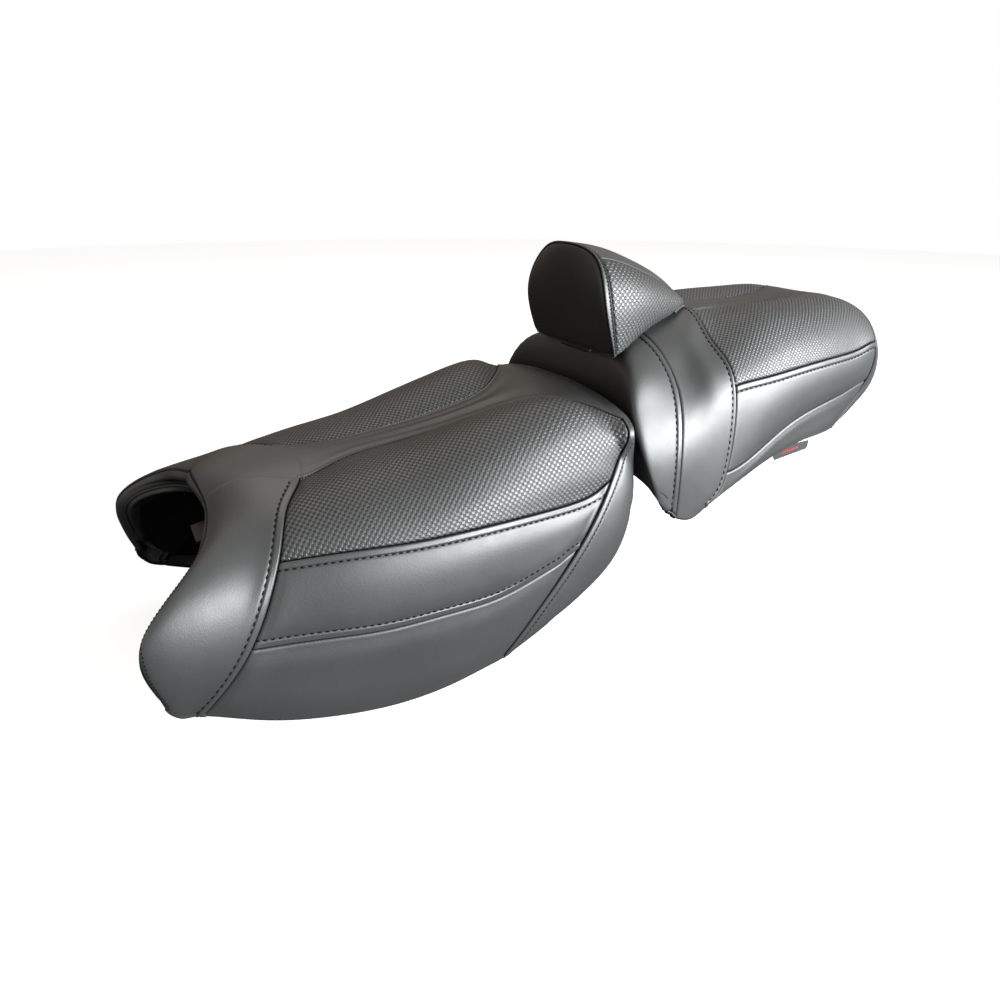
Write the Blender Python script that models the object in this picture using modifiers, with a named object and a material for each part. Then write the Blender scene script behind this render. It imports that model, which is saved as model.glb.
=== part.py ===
"""Touring motorcycle seat: rider seat, passenger seat and a folding, height-adjusting backrest.

Metres, +Z up. Origin: centre of the underside of the catch between the seats. -X is the front of
the bike, -Y the rider's left. The tables give half sections in millimetres, centre line first,
hem last; the other half is mirrored. They measure from the point on the centre plane where the two
seats meet, and DATUM is the origin's place in them.
"""
import math

import bmesh
import bpy
import numpy as np
from mathutils import Matrix, Vector

MM = 0.001
DATUM = (-76.0, 0.0, 56.0)  # centre of the rear catch's underside, mm
LEATHER = 1.2           # cover thickness, mm
FOAM_BELOW = 6.0        # foam surface under the cover's face, mm
PAN = 3.0               # moulded seat pan thickness, mm
RIDER_PAN, PASSENGER_PAN = (1, 9), (3, 9)  # rows each pan spans
PAN_STEP = ((0, -4), (0, -4), (-3, -3), (-4, -1.5), (-4, 0), (-4, 1))   # pan inside the foam, per column
HEM_RADIUS = 6.0        # roll of the cover's hem, mm
HEM_STEP = 48.0         # degrees of hem roll per grid line
SEAM = 0.020            # half seam gap, in grid units
ROLL_TO = 2.5           # front and rear edges roll under up to this column
PIVOT = (-15.0, 236.0)  # backrest hinge, x and z, mm
POST_X = 55.0           # backrest post, mm behind the origin
POST = (8.0, 40.0)      # post section x, y, mm
POST_FOOT, PLATE_Z = 160.0, 272.0
BOARD_Z, BOARD = 287.0, 5.0
PIN_R, KNUCKLE_R, CLEAR = 3.0, 5.0, 0.1
FORK, LEAF = 28.0, 14.6     # half widths of the post plate and of the hinge leaf, mm
LUG_X = 82.0            # latch lug on the post plate, mm
BOLT_Z, BOLT_HALF = (279.0, 283.0), 7.0
TAB_LIFT, TAB = 2.2, 1.3    # pull tab above the passenger cover, and its thickness, mm

RIDER_ROWS = (
    ((-506, 0, 138), (-498, 42, 123), (-505, 78, 112), (-528, 128, 96), (-577, 166, 54), (-566, 166, -10)),
    ((-493, 0, 147), (-489, 45, 138), (-493, 84, 124), (-516, 135, 107), (-575, 174, 59), (-569, 172, -14)),
    ((-445, 0, 150), (-445, 48, 148), (-457, 95, 131), (-482, 142, 100), (-535, 177, 38), (-556, 171, -28)),
    ((-390, 0, 148), (-398, 54, 141), (-425, 102, 132), (-447, 147, 98), (-486, 172, 25), (-535, 167, -36)),
    ((-345, 0, 147), (-346, 32, 146), (-354, 100, 146), (-380, 161, 101), (-420, 178, 21), (-480, 173, -57)),
    ((-290, 0, 152), (-290, 27, 153), (-294, 103, 157), (-315, 170, 101), (-355, 186, 18), (-415, 181, -70)),
    ((-230, 0, 160), (-230, 27, 161), (-230, 107, 176), (-245, 174, 103), (-285, 188, 19), (-350, 184, -77)),
    ((-170, 0, 171), (-172, 30, 172), (-165, 112, 194), (-175, 172, 104), (-225, 187, 22), (-290, 186, -73)),
    ((-120, 0, 183), (-124, 42, 184), (-112, 120, 201), (-120, 167, 105), (-170, 184, 36), (-245, 184, -66)),
    ((-75, 0, 192), (-78, 90, 193), (-76, 138, 182), (-90, 163, 111), (-144, 181, 43), (-228, 183, -63)),
    ((-45, 0, 197), (-48, 140, 183), (-53, 152, 148), (-72, 161, 119), (-122, 178, 51), (-214, 182, -60)),
    ((-22, 0, 190), (-33, 134, 176), (-37, 151, 142), (-44, 160, 112), (-90, 178, 44), (-190, 180, -51)),
    ((-16, 0, 140), (-22, 115, 128), (-26, 145, 105), (-31, 154, 78), (-68, 170, 20), (-162, 177, -40)),
    ((-18, 0, 85), (-22, 92, 78), (-28, 132, 62), (-35, 148, 44), (-66, 160, 4), (-135, 171, -30)),
)
RIDER_SEAMS = (3, 10)       # rows of the wing seam and the rear seam
PASSENGER_ROWS = (
    ((10, 0, 100), (7, 60, 99), (1, 112, 98), (-7, 150, 96), (-10, 168, 90), (9, 172, 69)),
    ((0, 0, 150), (-3, 60, 150), (-9, 110, 146), (-19, 149, 134), (-18, 167, 112), (13, 173, 67)),
    ((-2, 0, 234), (-7, 60, 232), (-21, 112, 222), (-28, 141, 186), (-16, 165, 134), (17, 173, 64)),
    ((38, 0, 262), (38, 70, 253), (41, 112, 223), (35, 142, 190), (24, 166, 138), (22, 173, 61)),
    ((82, 0, 270), (82, 62, 268), (80, 108, 240), (74, 150, 195), (60, 169, 120), (46, 173, 54)),
    ((126, 0, 273), (122, 50, 277), (113, 100, 248), (109, 150, 205), (96, 171, 104), (72, 173, 67)),
    ((175, 0, 271), (175, 37, 275), (175, 95, 270), (162, 152, 211), (152, 163, 118), (128, 166, 88)),
    ((230, 0, 270), (230, 31, 273), (232, 94, 278), (215, 150, 216), (213, 153, 143), (186, 156, 104)),
    ((285, 0, 273), (285, 24, 275), (292, 90, 279), (280, 144, 220), (278, 143, 157), (249, 146, 114)),
    ((330, 0, 278), (331, 30, 281), (344, 84, 278), (340, 136, 224), (340, 132, 165), (303, 135, 114)),
    ((360, 0, 279), (365, 50, 280), (389, 88, 264), (382, 127, 228), (392, 120, 172), (351, 115, 109)),
    ((410, 0, 262), (414, 50, 255), (422, 82, 235), (424, 106, 200), (418, 108, 160), (374, 104, 109)),
    ((432, 0, 210), (430, 48, 205), (430, 78, 190), (428, 98, 170), (417, 103, 145), (388, 98, 113)),
    ((428, 0, 150), (426, 45, 150), (422, 72, 146), (414, 88, 138), (409, 91, 131), (400, 90, 122)),
)
PASSENGER_SEAMS = (3, 5, 10)    # rows of the first, second and rear seams
PAD_ROWS = (
    ((-45, 0, 360), (-39, 54, 348), (-41, 82, 300), (-22, 84, 238)),
    ((-5, 0, 354), (-5, 54, 342), (0, 80, 300), (2, 78, 248)),
    ((35, 0, 341), (32, 50, 330), (40, 72, 298), (38, 68, 264)),
    ((80, 0, 322), (75, 40, 314), (78, 58, 294), (80, 56, 275)),
    ((118, 0, 299), (112, 26, 296), (113, 40, 289), (113, 40, 281)),
    ((139, 0, 281), (136, 12, 281), (132, 20, 281), (128, 25, 281)),
)
# Foam section: how far the underside sits inboard and below the surface, per column (mm),
# and per row: shift along x, scale of the drop, scale of the inboard step.
RIDER_DEPTH = ((0, -42), (0, -42), (-14, -40), (-28, -28), (-27, -3), (-16, 5))
RIDER_ENDS = {0: (14, .62, .57), 1: (22, .75, .86), 2: (12, .9, .9), 10: (-12, 1, 1), 11: (-24, .9, 1),
              12: (-26, .3, 1), 13: (-22, 0, 1)}
PASSENGER_DEPTH = ((0, -66), (0, -66), (-16, -62), (-32, -38), (-28, -4), (-16, 4))
PASSENGER_ENDS = {0: (24, 0, .8), 1: (24, .15, .9), 2: (22, .6, .9), 3: (16, .95, 1), 10: (-10, .9, 1),
                  11: (-22, .6, 1), 12: (-26, .2, 1), 13: (-22, 0, 1)}

MATERIALS = {
    "smooth_leather": ((0.028, 0.028, 0.029), 0.0, 0.42),
    "embossed_leather": ((0.022, 0.022, 0.024), 0.0, 0.48),
    "foam": ((0.30, 0.29, 0.26), 0.0, 0.95),
    "moulded_plastic": ((0.02, 0.02, 0.021), 0.0, 0.6),
    "rubber": ((0.015, 0.015, 0.015), 0.0, 0.8),
    "zinc_steel": ((0.55, 0.56, 0.58), 1.0, 0.35),
    "black_steel": ((0.03, 0.03, 0.032), 0.6, 0.45),
    "webbing": ((0.012, 0.012, 0.013), 0.0, 0.85),
}


# ---------------------------------------------------------------- spline surface
def weights(n, t):
    """Natural cubic spline weights of n evenly spaced knots at the parameters t."""
    a, b = np.eye(n), np.zeros((n, n))
    for i in range(1, n - 1):
        a[i, i - 1:i + 2] = 1, 4, 1
        b[i, i - 1:i + 2] = 6, -12, 6
    m = np.linalg.solve(a, b)
    i = np.clip(np.floor(t).astype(int), 0, n - 2)
    f = t - i
    w = np.zeros((len(t), n))
    r = np.arange(len(t))
    w[r, i] += 1 - f
    w[r, i + 1] += f
    w += (((1 - f) ** 3 - (1 - f)) / 6)[:, None] * m[i] + ((f ** 3 - f) / 6)[:, None] * m[i + 1]
    return w


def net(rows):
    """Full control net in metres from half sections in millimetres."""
    half = np.array(rows, float) * MM
    return np.concatenate([(half * (1, -1, 1))[:, :0:-1], half], 1)


def at(g, u, v):
    mid = (g.shape[1] - 1) // 2
    return np.einsum("ui,ijk,vj->uvk", weights(len(g), u), g, weights(g.shape[1], v + mid))


def unit(a):
    return a / np.maximum(np.linalg.norm(a, axis=-1, keepdims=True), 1e-12)


def frame_at(g, u, v):
    """Points, tangents and outward normals on the grid u x v (clamped to the net)."""
    top, mid, h = len(g) - 1, (g.shape[1] - 1) // 2, 0.02
    u, v = np.clip(u, 0, top), np.clip(v, -mid, mid)
    u0, u1 = np.clip(u - h, 0, top), np.clip(u + h, 0, top)
    v0, v1 = np.clip(v - h, -mid, mid), np.clip(v + h, -mid, mid)
    tu = unit(at(g, u1, v) - at(g, u0, v))
    tv = unit(at(g, u, v1) - at(g, u, v0))
    return at(g, u, v), tu, tv, unit(np.cross(tu, tv))


def skin(g, u, v, depth=0.0):
    """Cover surface; grid lines past an edge roll under it, whole numbers of HEM_STEP."""
    top, mid = len(g) - 1, (g.shape[1] - 1) // 2
    u, v = np.asarray(u, float), np.asarray(v, float)
    p, tu, tv, n = frame_at(g, u, v)
    p = p - n * depth * MM
    r = HEM_RADIUS * MM
    over_u = np.where(u < 0, u, np.where(u > top, u - top, 0))[:, None, None]
    over_v = np.where(np.abs(v) > mid, v - np.sign(v) * mid, 0)[None, :, None]
    a, b = np.abs(over_u) * math.radians(HEM_STEP), np.abs(over_v) * math.radians(HEM_STEP)
    down, inward = np.array((0, 0, -1.0)), unit(n * (1, 1, 0))
    p = p + r * np.sin(a) * np.sign(over_u) * tu - r * (1 - np.cos(a)) * n
    return p + r * np.sin(b) * down - r * (1 - np.cos(b)) * inward


def foam_face(g, u, v):
    """Foam surface under the cover, a little deeper towards the hem."""
    depth = FOAM_BELOW + 0.8 * np.clip(np.abs(v) - 3.5, 0, 1)
    return skin(g, u, v, depth[None, :, None])


def underside(rows, depth, ends):
    """Control net of the foam's underside."""
    out = []
    for i, row in enumerate(rows):
        dx, kz, ky = ends.get(i, (0, 1, 1))
        out.append([(x + dx, max(0, y + dy * ky), z + dz * kz) for (x, y, z), (dy, dz) in zip(row, depth)])
    return net(out)


# ---------------------------------------------------------------- building blocks
def make(name, verts, faces, material, hidden=False):
    mesh = bpy.data.meshes.new(name)
    mesh.from_pydata([tuple(map(float, v)) for v in verts], [], faces)
    mesh.validate()
    obj = bpy.data.objects.new(name, mesh)
    (CUTTERS if hidden else PARTS).objects.link(obj)
    if hidden:
        obj.hide_render, obj.display_type = True, "WIRE"
    else:
        mesh.materials.append(own_material(name, material))
    return obj


def own_material(name, look):
    colour, metal, rough = MATERIALS[look]
    mat = bpy.data.materials.new(name + "_material")
    mat.use_nodes = True
    bsdf = mat.node_tree.nodes["Principled BSDF"]
    bsdf.inputs["Base Color"].default_value = (*colour, 1)
    bsdf.inputs["Metallic"].default_value = metal
    bsdf.inputs["Roughness"].default_value = rough
    mat.diffuse_color = (*colour, 1)
    return mat


def solidify(obj, thickness, offset=-1.0):
    mod = obj.modifiers.new("thickness", "SOLIDIFY")
    mod.thickness, mod.offset, mod.use_quality_normals = thickness * MM, offset, True
    obj.data.shade_smooth()
    return obj


def bevel(obj, width, segments=2, angle=40):
    mod = obj.modifiers.new("edges", "BEVEL")
    mod.width, mod.segments, mod.limit_method = width * MM, segments, "ANGLE"
    mod.angle_limit = math.radians(angle)
    return obj


def cut(obj, cutter):
    mod = obj.modifiers.new("cut", "BOOLEAN")
    mod.operation, mod.solver, mod.object = "DIFFERENCE", "EXACT", cutter
    return obj


def grid_faces(nu, nv, keep=lambda i, j: True):
    """Triangles of a grid, all split along the same diagonal."""
    cells = [(i * nv + j, (i + 1) * nv + j, (i + 1) * nv + j + 1, i * nv + j + 1)
             for i in range(nu - 1) for j in range(nv - 1) if keep(i, j)]
    return [t for a, b, c, d in cells for t in ((a, b, c), (a, c, d))]


def tidy(verts, faces):
    """Drop the points no face uses."""
    used = sorted({k for f in faces for k in f})
    new = {k: i for i, k in enumerate(used)}
    return [verts[k] for k in used], [tuple(new[k] for k in f) for f in faces]


def add_piece(obj, name, material, hidden):
    """File a new object under its collection, with its own material or as a cutter."""
    for home in list(obj.users_collection):
        home.objects.unlink(obj)
    (CUTTERS if hidden else PARTS).objects.link(obj)
    obj.name = obj.data.name = name
    if hidden:
        obj.hide_render, obj.display_type = True, "WIRE"
    else:
        obj.data.materials.append(own_material(name, material))
    return obj


def plate(name, outline, low, high, material, axis=2, hidden=False):
    """Flat outline (mm pairs) as a filled curve, extruded along an axis between two positions (mm)."""
    curve = bpy.data.curves.new(name, "CURVE")
    curve.dimensions, curve.fill_mode, curve.extrude = "2D", "BOTH", (high - low) / 2 * MM
    spline = curve.splines.new("POLY")
    spline.points.add(len(outline) - 1)
    for point, (a, b) in zip(spline.points, outline):
        point.co = (a * MM, b * MM, 0, 1)
    spline.use_cyclic_u = True
    source = bpy.data.objects.new(name + "_outline", curve)
    CUTTERS.objects.link(source)
    bpy.context.view_layer.update()
    mesh = bpy.data.meshes.new_from_object(source.evaluated_get(bpy.context.evaluated_depsgraph_get()))
    bpy.data.objects.remove(source)
    bm = bmesh.new()
    bm.from_mesh(mesh)
    bmesh.ops.remove_doubles(bm, verts=bm.verts, dist=0.00001)
    turn = {0: Matrix(((0, 0, 1), (1, 0, 0), (0, 1, 0))), 1: Matrix(((1, 0, 0), (0, 0, -1), (0, 1, 0))),
            2: Matrix.Identity(3)}[axis]
    middle = Vector((0, 0, 0))
    middle[axis] = (low + high) / 2 * MM
    bmesh.ops.transform(bm, matrix=Matrix.Translation(middle) @ turn.to_4x4(), verts=bm.verts)
    bmesh.ops.recalc_face_normals(bm, faces=bm.faces)
    bm.to_mesh(mesh)
    bm.free()
    mesh.materials.clear()
    return add_piece(bpy.data.objects.new(name, mesh), name, material, hidden)


def block(name, x, y, z, material, hidden=False):
    """Cuboid between two corners (mm)."""
    size = [(b - a) * MM for a, b in (x, y, z)]
    centre = [(a + b) / 2 * MM for a, b in (x, y, z)]
    bpy.ops.mesh.primitive_cube_add(size=1, location=centre)
    obj = bpy.context.active_object
    obj.data.transform(Matrix.Diagonal((*size, 1)))
    return add_piece(obj, name, material, hidden)


def cylinder(name, r, centre, length, material, hidden=False, steps=20):
    """Round bar along Y about a centre (mm)."""
    bpy.ops.mesh.primitive_cylinder_add(vertices=steps, radius=r * MM, depth=length * MM,
                                        location=[c * MM for c in centre])
    obj = bpy.context.active_object
    obj.data.transform(Matrix.Rotation(math.radians(90), 4, "X"))
    obj.data.shade_smooth()
    obj.data.set_sharp_from_angle(angle=math.radians(40))
    return add_piece(obj, name, material, hidden)


def turned(name, profile, centre, material, steps=16):
    """Screw a profile (radius, height in mm, lowest point first) about the Z axis through centre (mm)."""
    obj = make(name, [], [], material)
    bm = bmesh.new()
    points = [bm.verts.new((r * MM, 0, h * MM)) for r, h in profile[::-1]]
    for a, b in zip(points, points[1:]):
        bm.edges.new((a, b))
    bm.to_mesh(obj.data)
    bm.free()
    mod = obj.modifiers.new("turn", "SCREW")
    mod.angle, mod.steps, mod.render_steps, mod.axis = 2 * math.pi, steps, steps, "Z"
    mod.use_merge_vertices, mod.merge_threshold = True, 0.00001
    obj.location = tuple(c * MM for c in centre)
    return obj


def rod(name, points, radius, material, segments=3):
    """Round bar along points (mm)."""
    curve = bpy.data.curves.new(name, "CURVE")
    curve.dimensions, curve.bevel_depth, curve.bevel_resolution = "3D", radius * MM, segments
    curve.use_fill_caps = True
    spline = curve.splines.new("POLY")
    spline.points.add(len(points) - 1)
    for p, co in zip(spline.points, points):
        p.co = (co[0] * MM, co[1] * MM, co[2] * MM, 1)
    obj = bpy.data.objects.new(name, curve)
    PARTS.objects.link(obj)
    curve.materials.append(own_material(name, material))
    return obj


def strap(name, path, low, high, thickness, material):
    """Bent sheet: a path of x, z (mm) swept across y, thickened to its right-hand side."""
    verts = [(x * MM, y * MM, z * MM) for x, z in path for y in (low, high)]
    return solidify(make(name, verts, grid_faces(len(path), 2), material), thickness)


# ---------------------------------------------------------------- padded seats
def spread(count, step, extra, roll):
    """Grid lines 0..count with doubled lines at the seams and roll lines past both ends."""
    lines = list(np.arange(0, count + step / 2, step))
    lines = [t for t in lines if t not in extra] + [s + d for s in extra for d in (-SEAM, SEAM)]
    past = range(1, roll + 1)
    return np.array(sorted(lines + [-k for k in past] + [count + k for k in past]))


def cross_lines(mid, step, roll):
    one = spread(mid, step, (1, 3, 4), 0)
    one = one[one > 0]
    hem = [mid + k for k in range(1, roll + 1)]
    return np.array(sorted([-t for t in one] + [0.0] + list(one) + [-h for h in hem] + hem))


def panel(name, g, u, v, inside, material):
    """Cover panel: the grid cells whose centre satisfies inside(u, v), one leather thick."""
    uc, vc = (u[1:] + u[:-1]) / 2, (v[1:] + v[:-1]) / 2
    narrow_u, narrow_v = np.diff(u) < 2.5 * SEAM, np.diff(v) < 2.5 * SEAM

    def keep(i, j):
        corner = not 0 < uc[i] < len(g) - 1 and abs(vc[j]) > ROLL_TO
        here = inside(uc[i], vc[j]) and not corner
        if here and narrow_u[i]:
            here = inside(uc[i] - 0.2, vc[j]) and inside(uc[i] + 0.2, vc[j])
        if here and narrow_v[j]:
            here = inside(uc[i], vc[j] - 0.2) and inside(uc[i], vc[j] + 0.2)
        if here and narrow_u[i] and narrow_v[j]:
            here = all(inside(uc[i] + a, vc[j] + b) for a in (-0.2, 0.2) for b in (-0.2, 0.2))
        return here

    points = skin(g, u, v).reshape(-1, 3)
    verts, faces = tidy(points, grid_faces(len(u), len(v), keep))
    return solidify(make(name, verts, faces, material), LEATHER)


def inside_lines(low, high, step=0.5, short=0.2):
    """Grid lines that stop a little short of both ends."""
    lines = np.arange(low, high + step / 2, step)
    lines[[0, -1]] = low + short, high - short
    return lines


def rim(nu, nv):
    """Boundary indices of a grid, in order."""
    return ([j for j in range(nv)] + [i * nv + nv - 1 for i in range(1, nu)]
            + [(nu - 1) * nv + j for j in range(nv - 2, -1, -1)] + [i * nv for i in range(nu - 2, 0, -1)])


def foam(name, outer, inner):
    """Foam body between two surfaces sampled on the same grid."""
    nu, nv = outer.shape[:2]
    n, edge = nu * nv, rim(nu, nv)
    verts = np.concatenate([outer.reshape(-1, 3), inner.reshape(-1, 3)])
    faces = grid_faces(nu, nv) + [tuple(k + n for k in f[::-1]) for f in grid_faces(nu, nv)]
    faces += [(a, b, b + n, a + n) for a, b in zip(edge, edge[1:] + edge[:1])]
    return make(name, verts, faces, "foam")


def pan_net(rows, depth, ends, front):
    """Control net of the pan's top face, a little inside the foam's underside."""
    deeper = [(dy + a, dz + b) for (dy, dz), (a, b) in zip(depth, PAN_STEP)]
    shift = {i: (dx + (-4 if i > 9 else front), kz, ky) for i, (dx, kz, ky) in ends.items()}
    return underside(rows, deeper, shift)


def pan(name, g, span, v):
    """Moulded pan lining the foam's underside between two rows."""
    u = np.unique(np.concatenate([[span[0]], np.arange(math.ceil(span[0]), span[1]), [span[1]]]))
    points = at(g, u, v).reshape(-1, 3)
    return solidify(make(name, points, grid_faces(len(u), len(v)), "moulded_plastic"), PAN)


def fascia(name, outer, inner, lift):
    """Trim strip over a foam edge, between its outer and inner rims."""
    across = unit(inner - outer)
    along = unit(np.gradient(outer, axis=0))
    face = unit(np.cross(along, across))
    rows = [outer + (inner - outer) * s + face * lift * MM for s in (0.46, 0.6, 0.75, 0.9)]
    grid = np.stack(rows, 1)
    faces = grid_faces(len(outer), 4)
    return solidify(make(name, grid.reshape(-1, 3), faces, "smooth_leather"), LEATHER, -1)


def build_rider():
    g, under = net(RIDER_ROWS), underside(RIDER_ROWS, RIDER_DEPTH, RIDER_ENDS)
    wing, rear = RIDER_SEAMS
    count = len(g) - 1
    u, v = spread(count, 0.5, RIDER_SEAMS, 2), cross_lines(5, 0.5, 2)
    mid = lambda a: wing < a < rear
    panel("rider_cover_saddle", g, u, v, lambda a, b: not mid(a) or abs(b) < 1, "smooth_leather")
    for side, s in (("left", -1), ("right", 1)):
        panel(f"rider_cover_bolster_{side}", g, u, v, lambda a, b: mid(a) and 1 < s * b < 3,
              "embossed_leather")
        panel(f"rider_cover_side_{side}", g, u, v, lambda a, b: mid(a) and 3 < s * b < 4, "smooth_leather")
        panel(f"rider_cover_skirt_{side}", g, u, v, lambda a, b: mid(a) and s * b > 4, "smooth_leather")
    fu, fv = inside_lines(0, count, 1), inside_lines(-5, 5)
    outer, inner = foam_face(g, fu, fv), at(under, fu, fv)
    foam("rider_foam", outer, inner)
    pan("rider_pan", pan_net(RIDER_ROWS, RIDER_DEPTH, RIDER_ENDS, 0), RIDER_PAN, fv)
    fascia("rider_cover_fascia", outer[0, 1:-1], inner[0, 1:-1], 2.6)


def build_passenger():
    g, under = net(PASSENGER_ROWS), underside(PASSENGER_ROWS, PASSENGER_DEPTH, PASSENGER_ENDS)
    first, second, rear = PASSENGER_SEAMS
    count = len(g) - 1
    u, v = spread(count, 0.5, PASSENGER_SEAMS, 2), cross_lines(5, 0.5, 2)
    mid = lambda a: second < a < rear
    panel("passenger_cover_front", g, u, v, lambda a, b: a < first, "smooth_leather")
    band = panel("passenger_cover_band", g, u, v, lambda a, b: first < a < second, "smooth_leather")
    panel("passenger_cover_centre", g, u, v, lambda a, b: a > rear or (a > second and abs(b) < 1),
          "smooth_leather")
    for side, s in (("left", -1), ("right", 1)):
        panel(f"passenger_cover_bolster_{side}", g, u, v, lambda a, b: mid(a) and 1 < s * b < 3,
              "embossed_leather")
        panel(f"passenger_cover_side_{side}", g, u, v, lambda a, b: mid(a) and 3 < s * b < 4,
              "smooth_leather")
        panel(f"passenger_cover_skirt_{side}", g, u, v, lambda a, b: mid(a) and s * b > 4,
              "smooth_leather")
    fu, fv = inside_lines(0, count, 1), inside_lines(-5, 5)
    outer, inner = foam_face(g, fu, fv), at(under, fu, fv)
    body = foam("passenger_foam", outer, inner)
    lining = pan_net(PASSENGER_ROWS, PASSENGER_DEPTH, PASSENGER_ENDS, 4)
    base = pan("passenger_pan", lining, PASSENGER_PAN, fv)
    slot = block("cut_socket", (POST_X - 7, POST_X + 7), (-23.5, 23.5), (120, 300), None, hidden=True)
    for obj in (band, body, base):
        cut(obj, slot)


# ---------------------------------------------------------------- backrest
def pad_loops(g, u, depth, crown):
    """Closed section loops of the pad: the arch, then back along its crowned bottom."""
    arch = skin(g, u, np.arange(-3, 3.1, 0.5), depth)
    loops = []
    for row in arch:
        a, b = row[-1], row[0]
        t = np.linspace(0, 1, 7)[1:-1, None]
        lift = np.array([0, 0, crown * MM]) * (4 * t * (1 - t))
        loops.append(np.concatenate([row, a * (1 - t) + b * t + lift]))
    return np.array(loops)


def dome(loop, bulge, rings=(0.72, 0.4)):
    """Rings and centre point closing a loop, pushed forward by bulge (mm)."""
    centre = loop.mean(0)
    forward = np.array([-bulge * MM, 0, 0])
    inner = [centre + (loop - centre) * s + forward * (1 - s * s) for s in rings]
    return inner, centre + forward


def capped_tube(loops, bulge):
    """Verts and faces of a tube of loops, domed at the first loop and flat at the last."""
    rings, tip = dome(loops[0], bulge)
    stack = rings[::-1] + list(loops)
    n, m = len(loops[0]), len(stack)
    verts = [p for ring in stack for p in ring] + [tip]
    faces = [(i * n + j, (i + 1) * n + j, (i + 1) * n + (j + 1) % n, i * n + (j + 1) % n)
             for i in range(m - 1) for j in range(n)]
    faces += [(m * n, j, (j + 1) % n) for j in range(n)]
    faces.append(tuple((m - 1) * n + j for j in range(n))[::-1])
    return verts, faces


def build_pad():
    g = net(PAD_ROWS)
    u = np.array([0.02, 0.35, 0.7, 1, 1.5, 2, 2.5, 3, 3.5, 4, 4.5, 4.97])
    arch = lambda lo, hi: skin(g, u, np.linspace(lo, hi, max(2, int(round((hi - lo) / 0.4)) + 1)))
    for name, lo, hi, look in (("backrest_cover_top", -1 + SEAM, 1 - SEAM, "smooth_leather"),
                               ("backrest_gusset_left", -3, -1 - SEAM, "embossed_leather"),
                               ("backrest_gusset_right", 1 + SEAM, 3, "embossed_leather")):
        p = arch(lo, hi)
        solidify(make(name, p.reshape(-1, 3), grid_faces(*p.shape[:2]), look), LEATHER)
    front_cover(g)
    foam_loops = pad_loops(g, np.array([0.12, 0.5, 1, 1.5, 2, 2.5, 3, 3.5, 4, 4.35]), 2.6, 0)
    verts, faces = capped_tube(foam_loops, 3)
    body = make("backrest_foam", verts, faces, "foam")
    top = BOARD_Z + BOARD + 0.4
    cut(body, block("cut_board", (-8, 140), (-71, 71), (200, top), None, hidden=True))
    cut(body, block("cut_hinge", (-22, 0), (-FORK - 4, FORK + 4), (200, top), None, hidden=True))


def front_cover(g):
    """Front face of the pad: a domed panel inside the front edge."""
    loop = pad_loops(g, np.array([0.0]), 1.0, 0)[0] + np.array([-2.0 * MM, 0, 0])
    rings, tip = dome(loop, 7, (0.8, 0.55, 0.28))
    stack, n = [loop] + rings, len(loop)
    verts = [p for ring in stack for p in ring] + [tip]
    faces = [(i * n + j, i * n + (j + 1) % n, (i + 1) * n + (j + 1) % n, (i + 1) * n + j)
             for i in range(len(stack) - 1) for j in range(n)]
    last = (len(stack) - 1) * n
    faces += [(last + j, last + (j + 1) % n, last + n) for j in range(n)]
    solidify(make("backrest_cover_front", verts, faces, "smooth_leather"), LEATHER)


def arc(centre, r, start, end, n=10):
    """Points (mm) on an arc, angles in degrees."""
    return [(centre[0] + r * math.cos(math.radians(a)), centre[1] + r * math.sin(math.radians(a)))
            for a in np.linspace(start, end, n)]


def pin_bore(name):
    return cylinder(name, PIN_R + CLEAR, (PIVOT[0], 0, PIVOT[1]), 80, None, hidden=True)


def build_board():
    """Rigid board with its screws, hinge leaf, latch guide, bolt and pull tab."""
    half = [(0, 68), (34, 61), (78, 48), (104, 36)]
    outline = [(-6, -69)] + [(x, -y) for x, y in half] + [(x, y) for x, y in half[::-1]] + [(-6, 69)]
    bevel(plate("backrest_board", outline, BOARD_Z, BOARD_Z + BOARD, "moulded_plastic"), 0.8)
    px, pz = PIVOT
    back, under = px - KNUCKLE_R, BOARD_Z - 3.4
    leaf = arc(PIVOT, KNUCKLE_R, 180, 420, 14) + [(back + 3, pz + 7), (back + 3, under), (26, under),
                                                 (26, BOARD_Z - 0.3), (back, BOARD_Z - 0.3)]
    cut(plate("hinge_leaf", leaf, -LEAF, LEAF, "black_steel", axis=1), pin_bore("cut_leaf_bore"))
    for k, (x, y) in enumerate(((12, -45), (12, 45), (72, -32), (72, 32))):
        turned(f"board_screw_{k + 1}", ((0, -2.2), (4, -2.2), (4, -1), (3, 0), (0, 0)),
               (x, y, BOARD_Z - 0.3), "zinc_steel", 12)
    low, high = BOLT_Z
    guide = block("latch_guide", (89, 100), (-13, 13), (low - 1.8, BOARD_Z - 0.3), "black_steel")
    room = (-BOLT_HALF - 0.4, BOLT_HALF + 0.4)
    cut(guide, block("cut_guide", (80, 120), room, (low - 0.4, high + 0.4), None, True))


def build_release():
    """Sliding bolt and the folded pull tab that draws it back."""
    low, high = BOLT_Z
    bevel(block("latch_bolt", (LUG_X - 4, 116), (-BOLT_HALF, BOLT_HALF), (low, high), "zinc_steel"), 0.6)
    g = net(PASSENGER_ROWS)
    half, rear, front = 57.0, 121.0, 88.0
    rows = []
    for x in np.linspace(front, rear, 5):
        width = half - (x - front) * 0.62
        rows.append([seat_point(g, x, y, TAB_LIFT) for y in np.linspace(-width, width, 9)])
    verts = [p for row in rows for p in row]
    solidify(make("pull_tab", verts, grid_faces(5, 9), "webbing"), TAB, 1.0)
    turned("tab_rivet", ((0, 0), (5, 0), (5, 0.7), (0, 0.7)), (106, 0, 278.0), "zinc_steel", 12)


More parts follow.
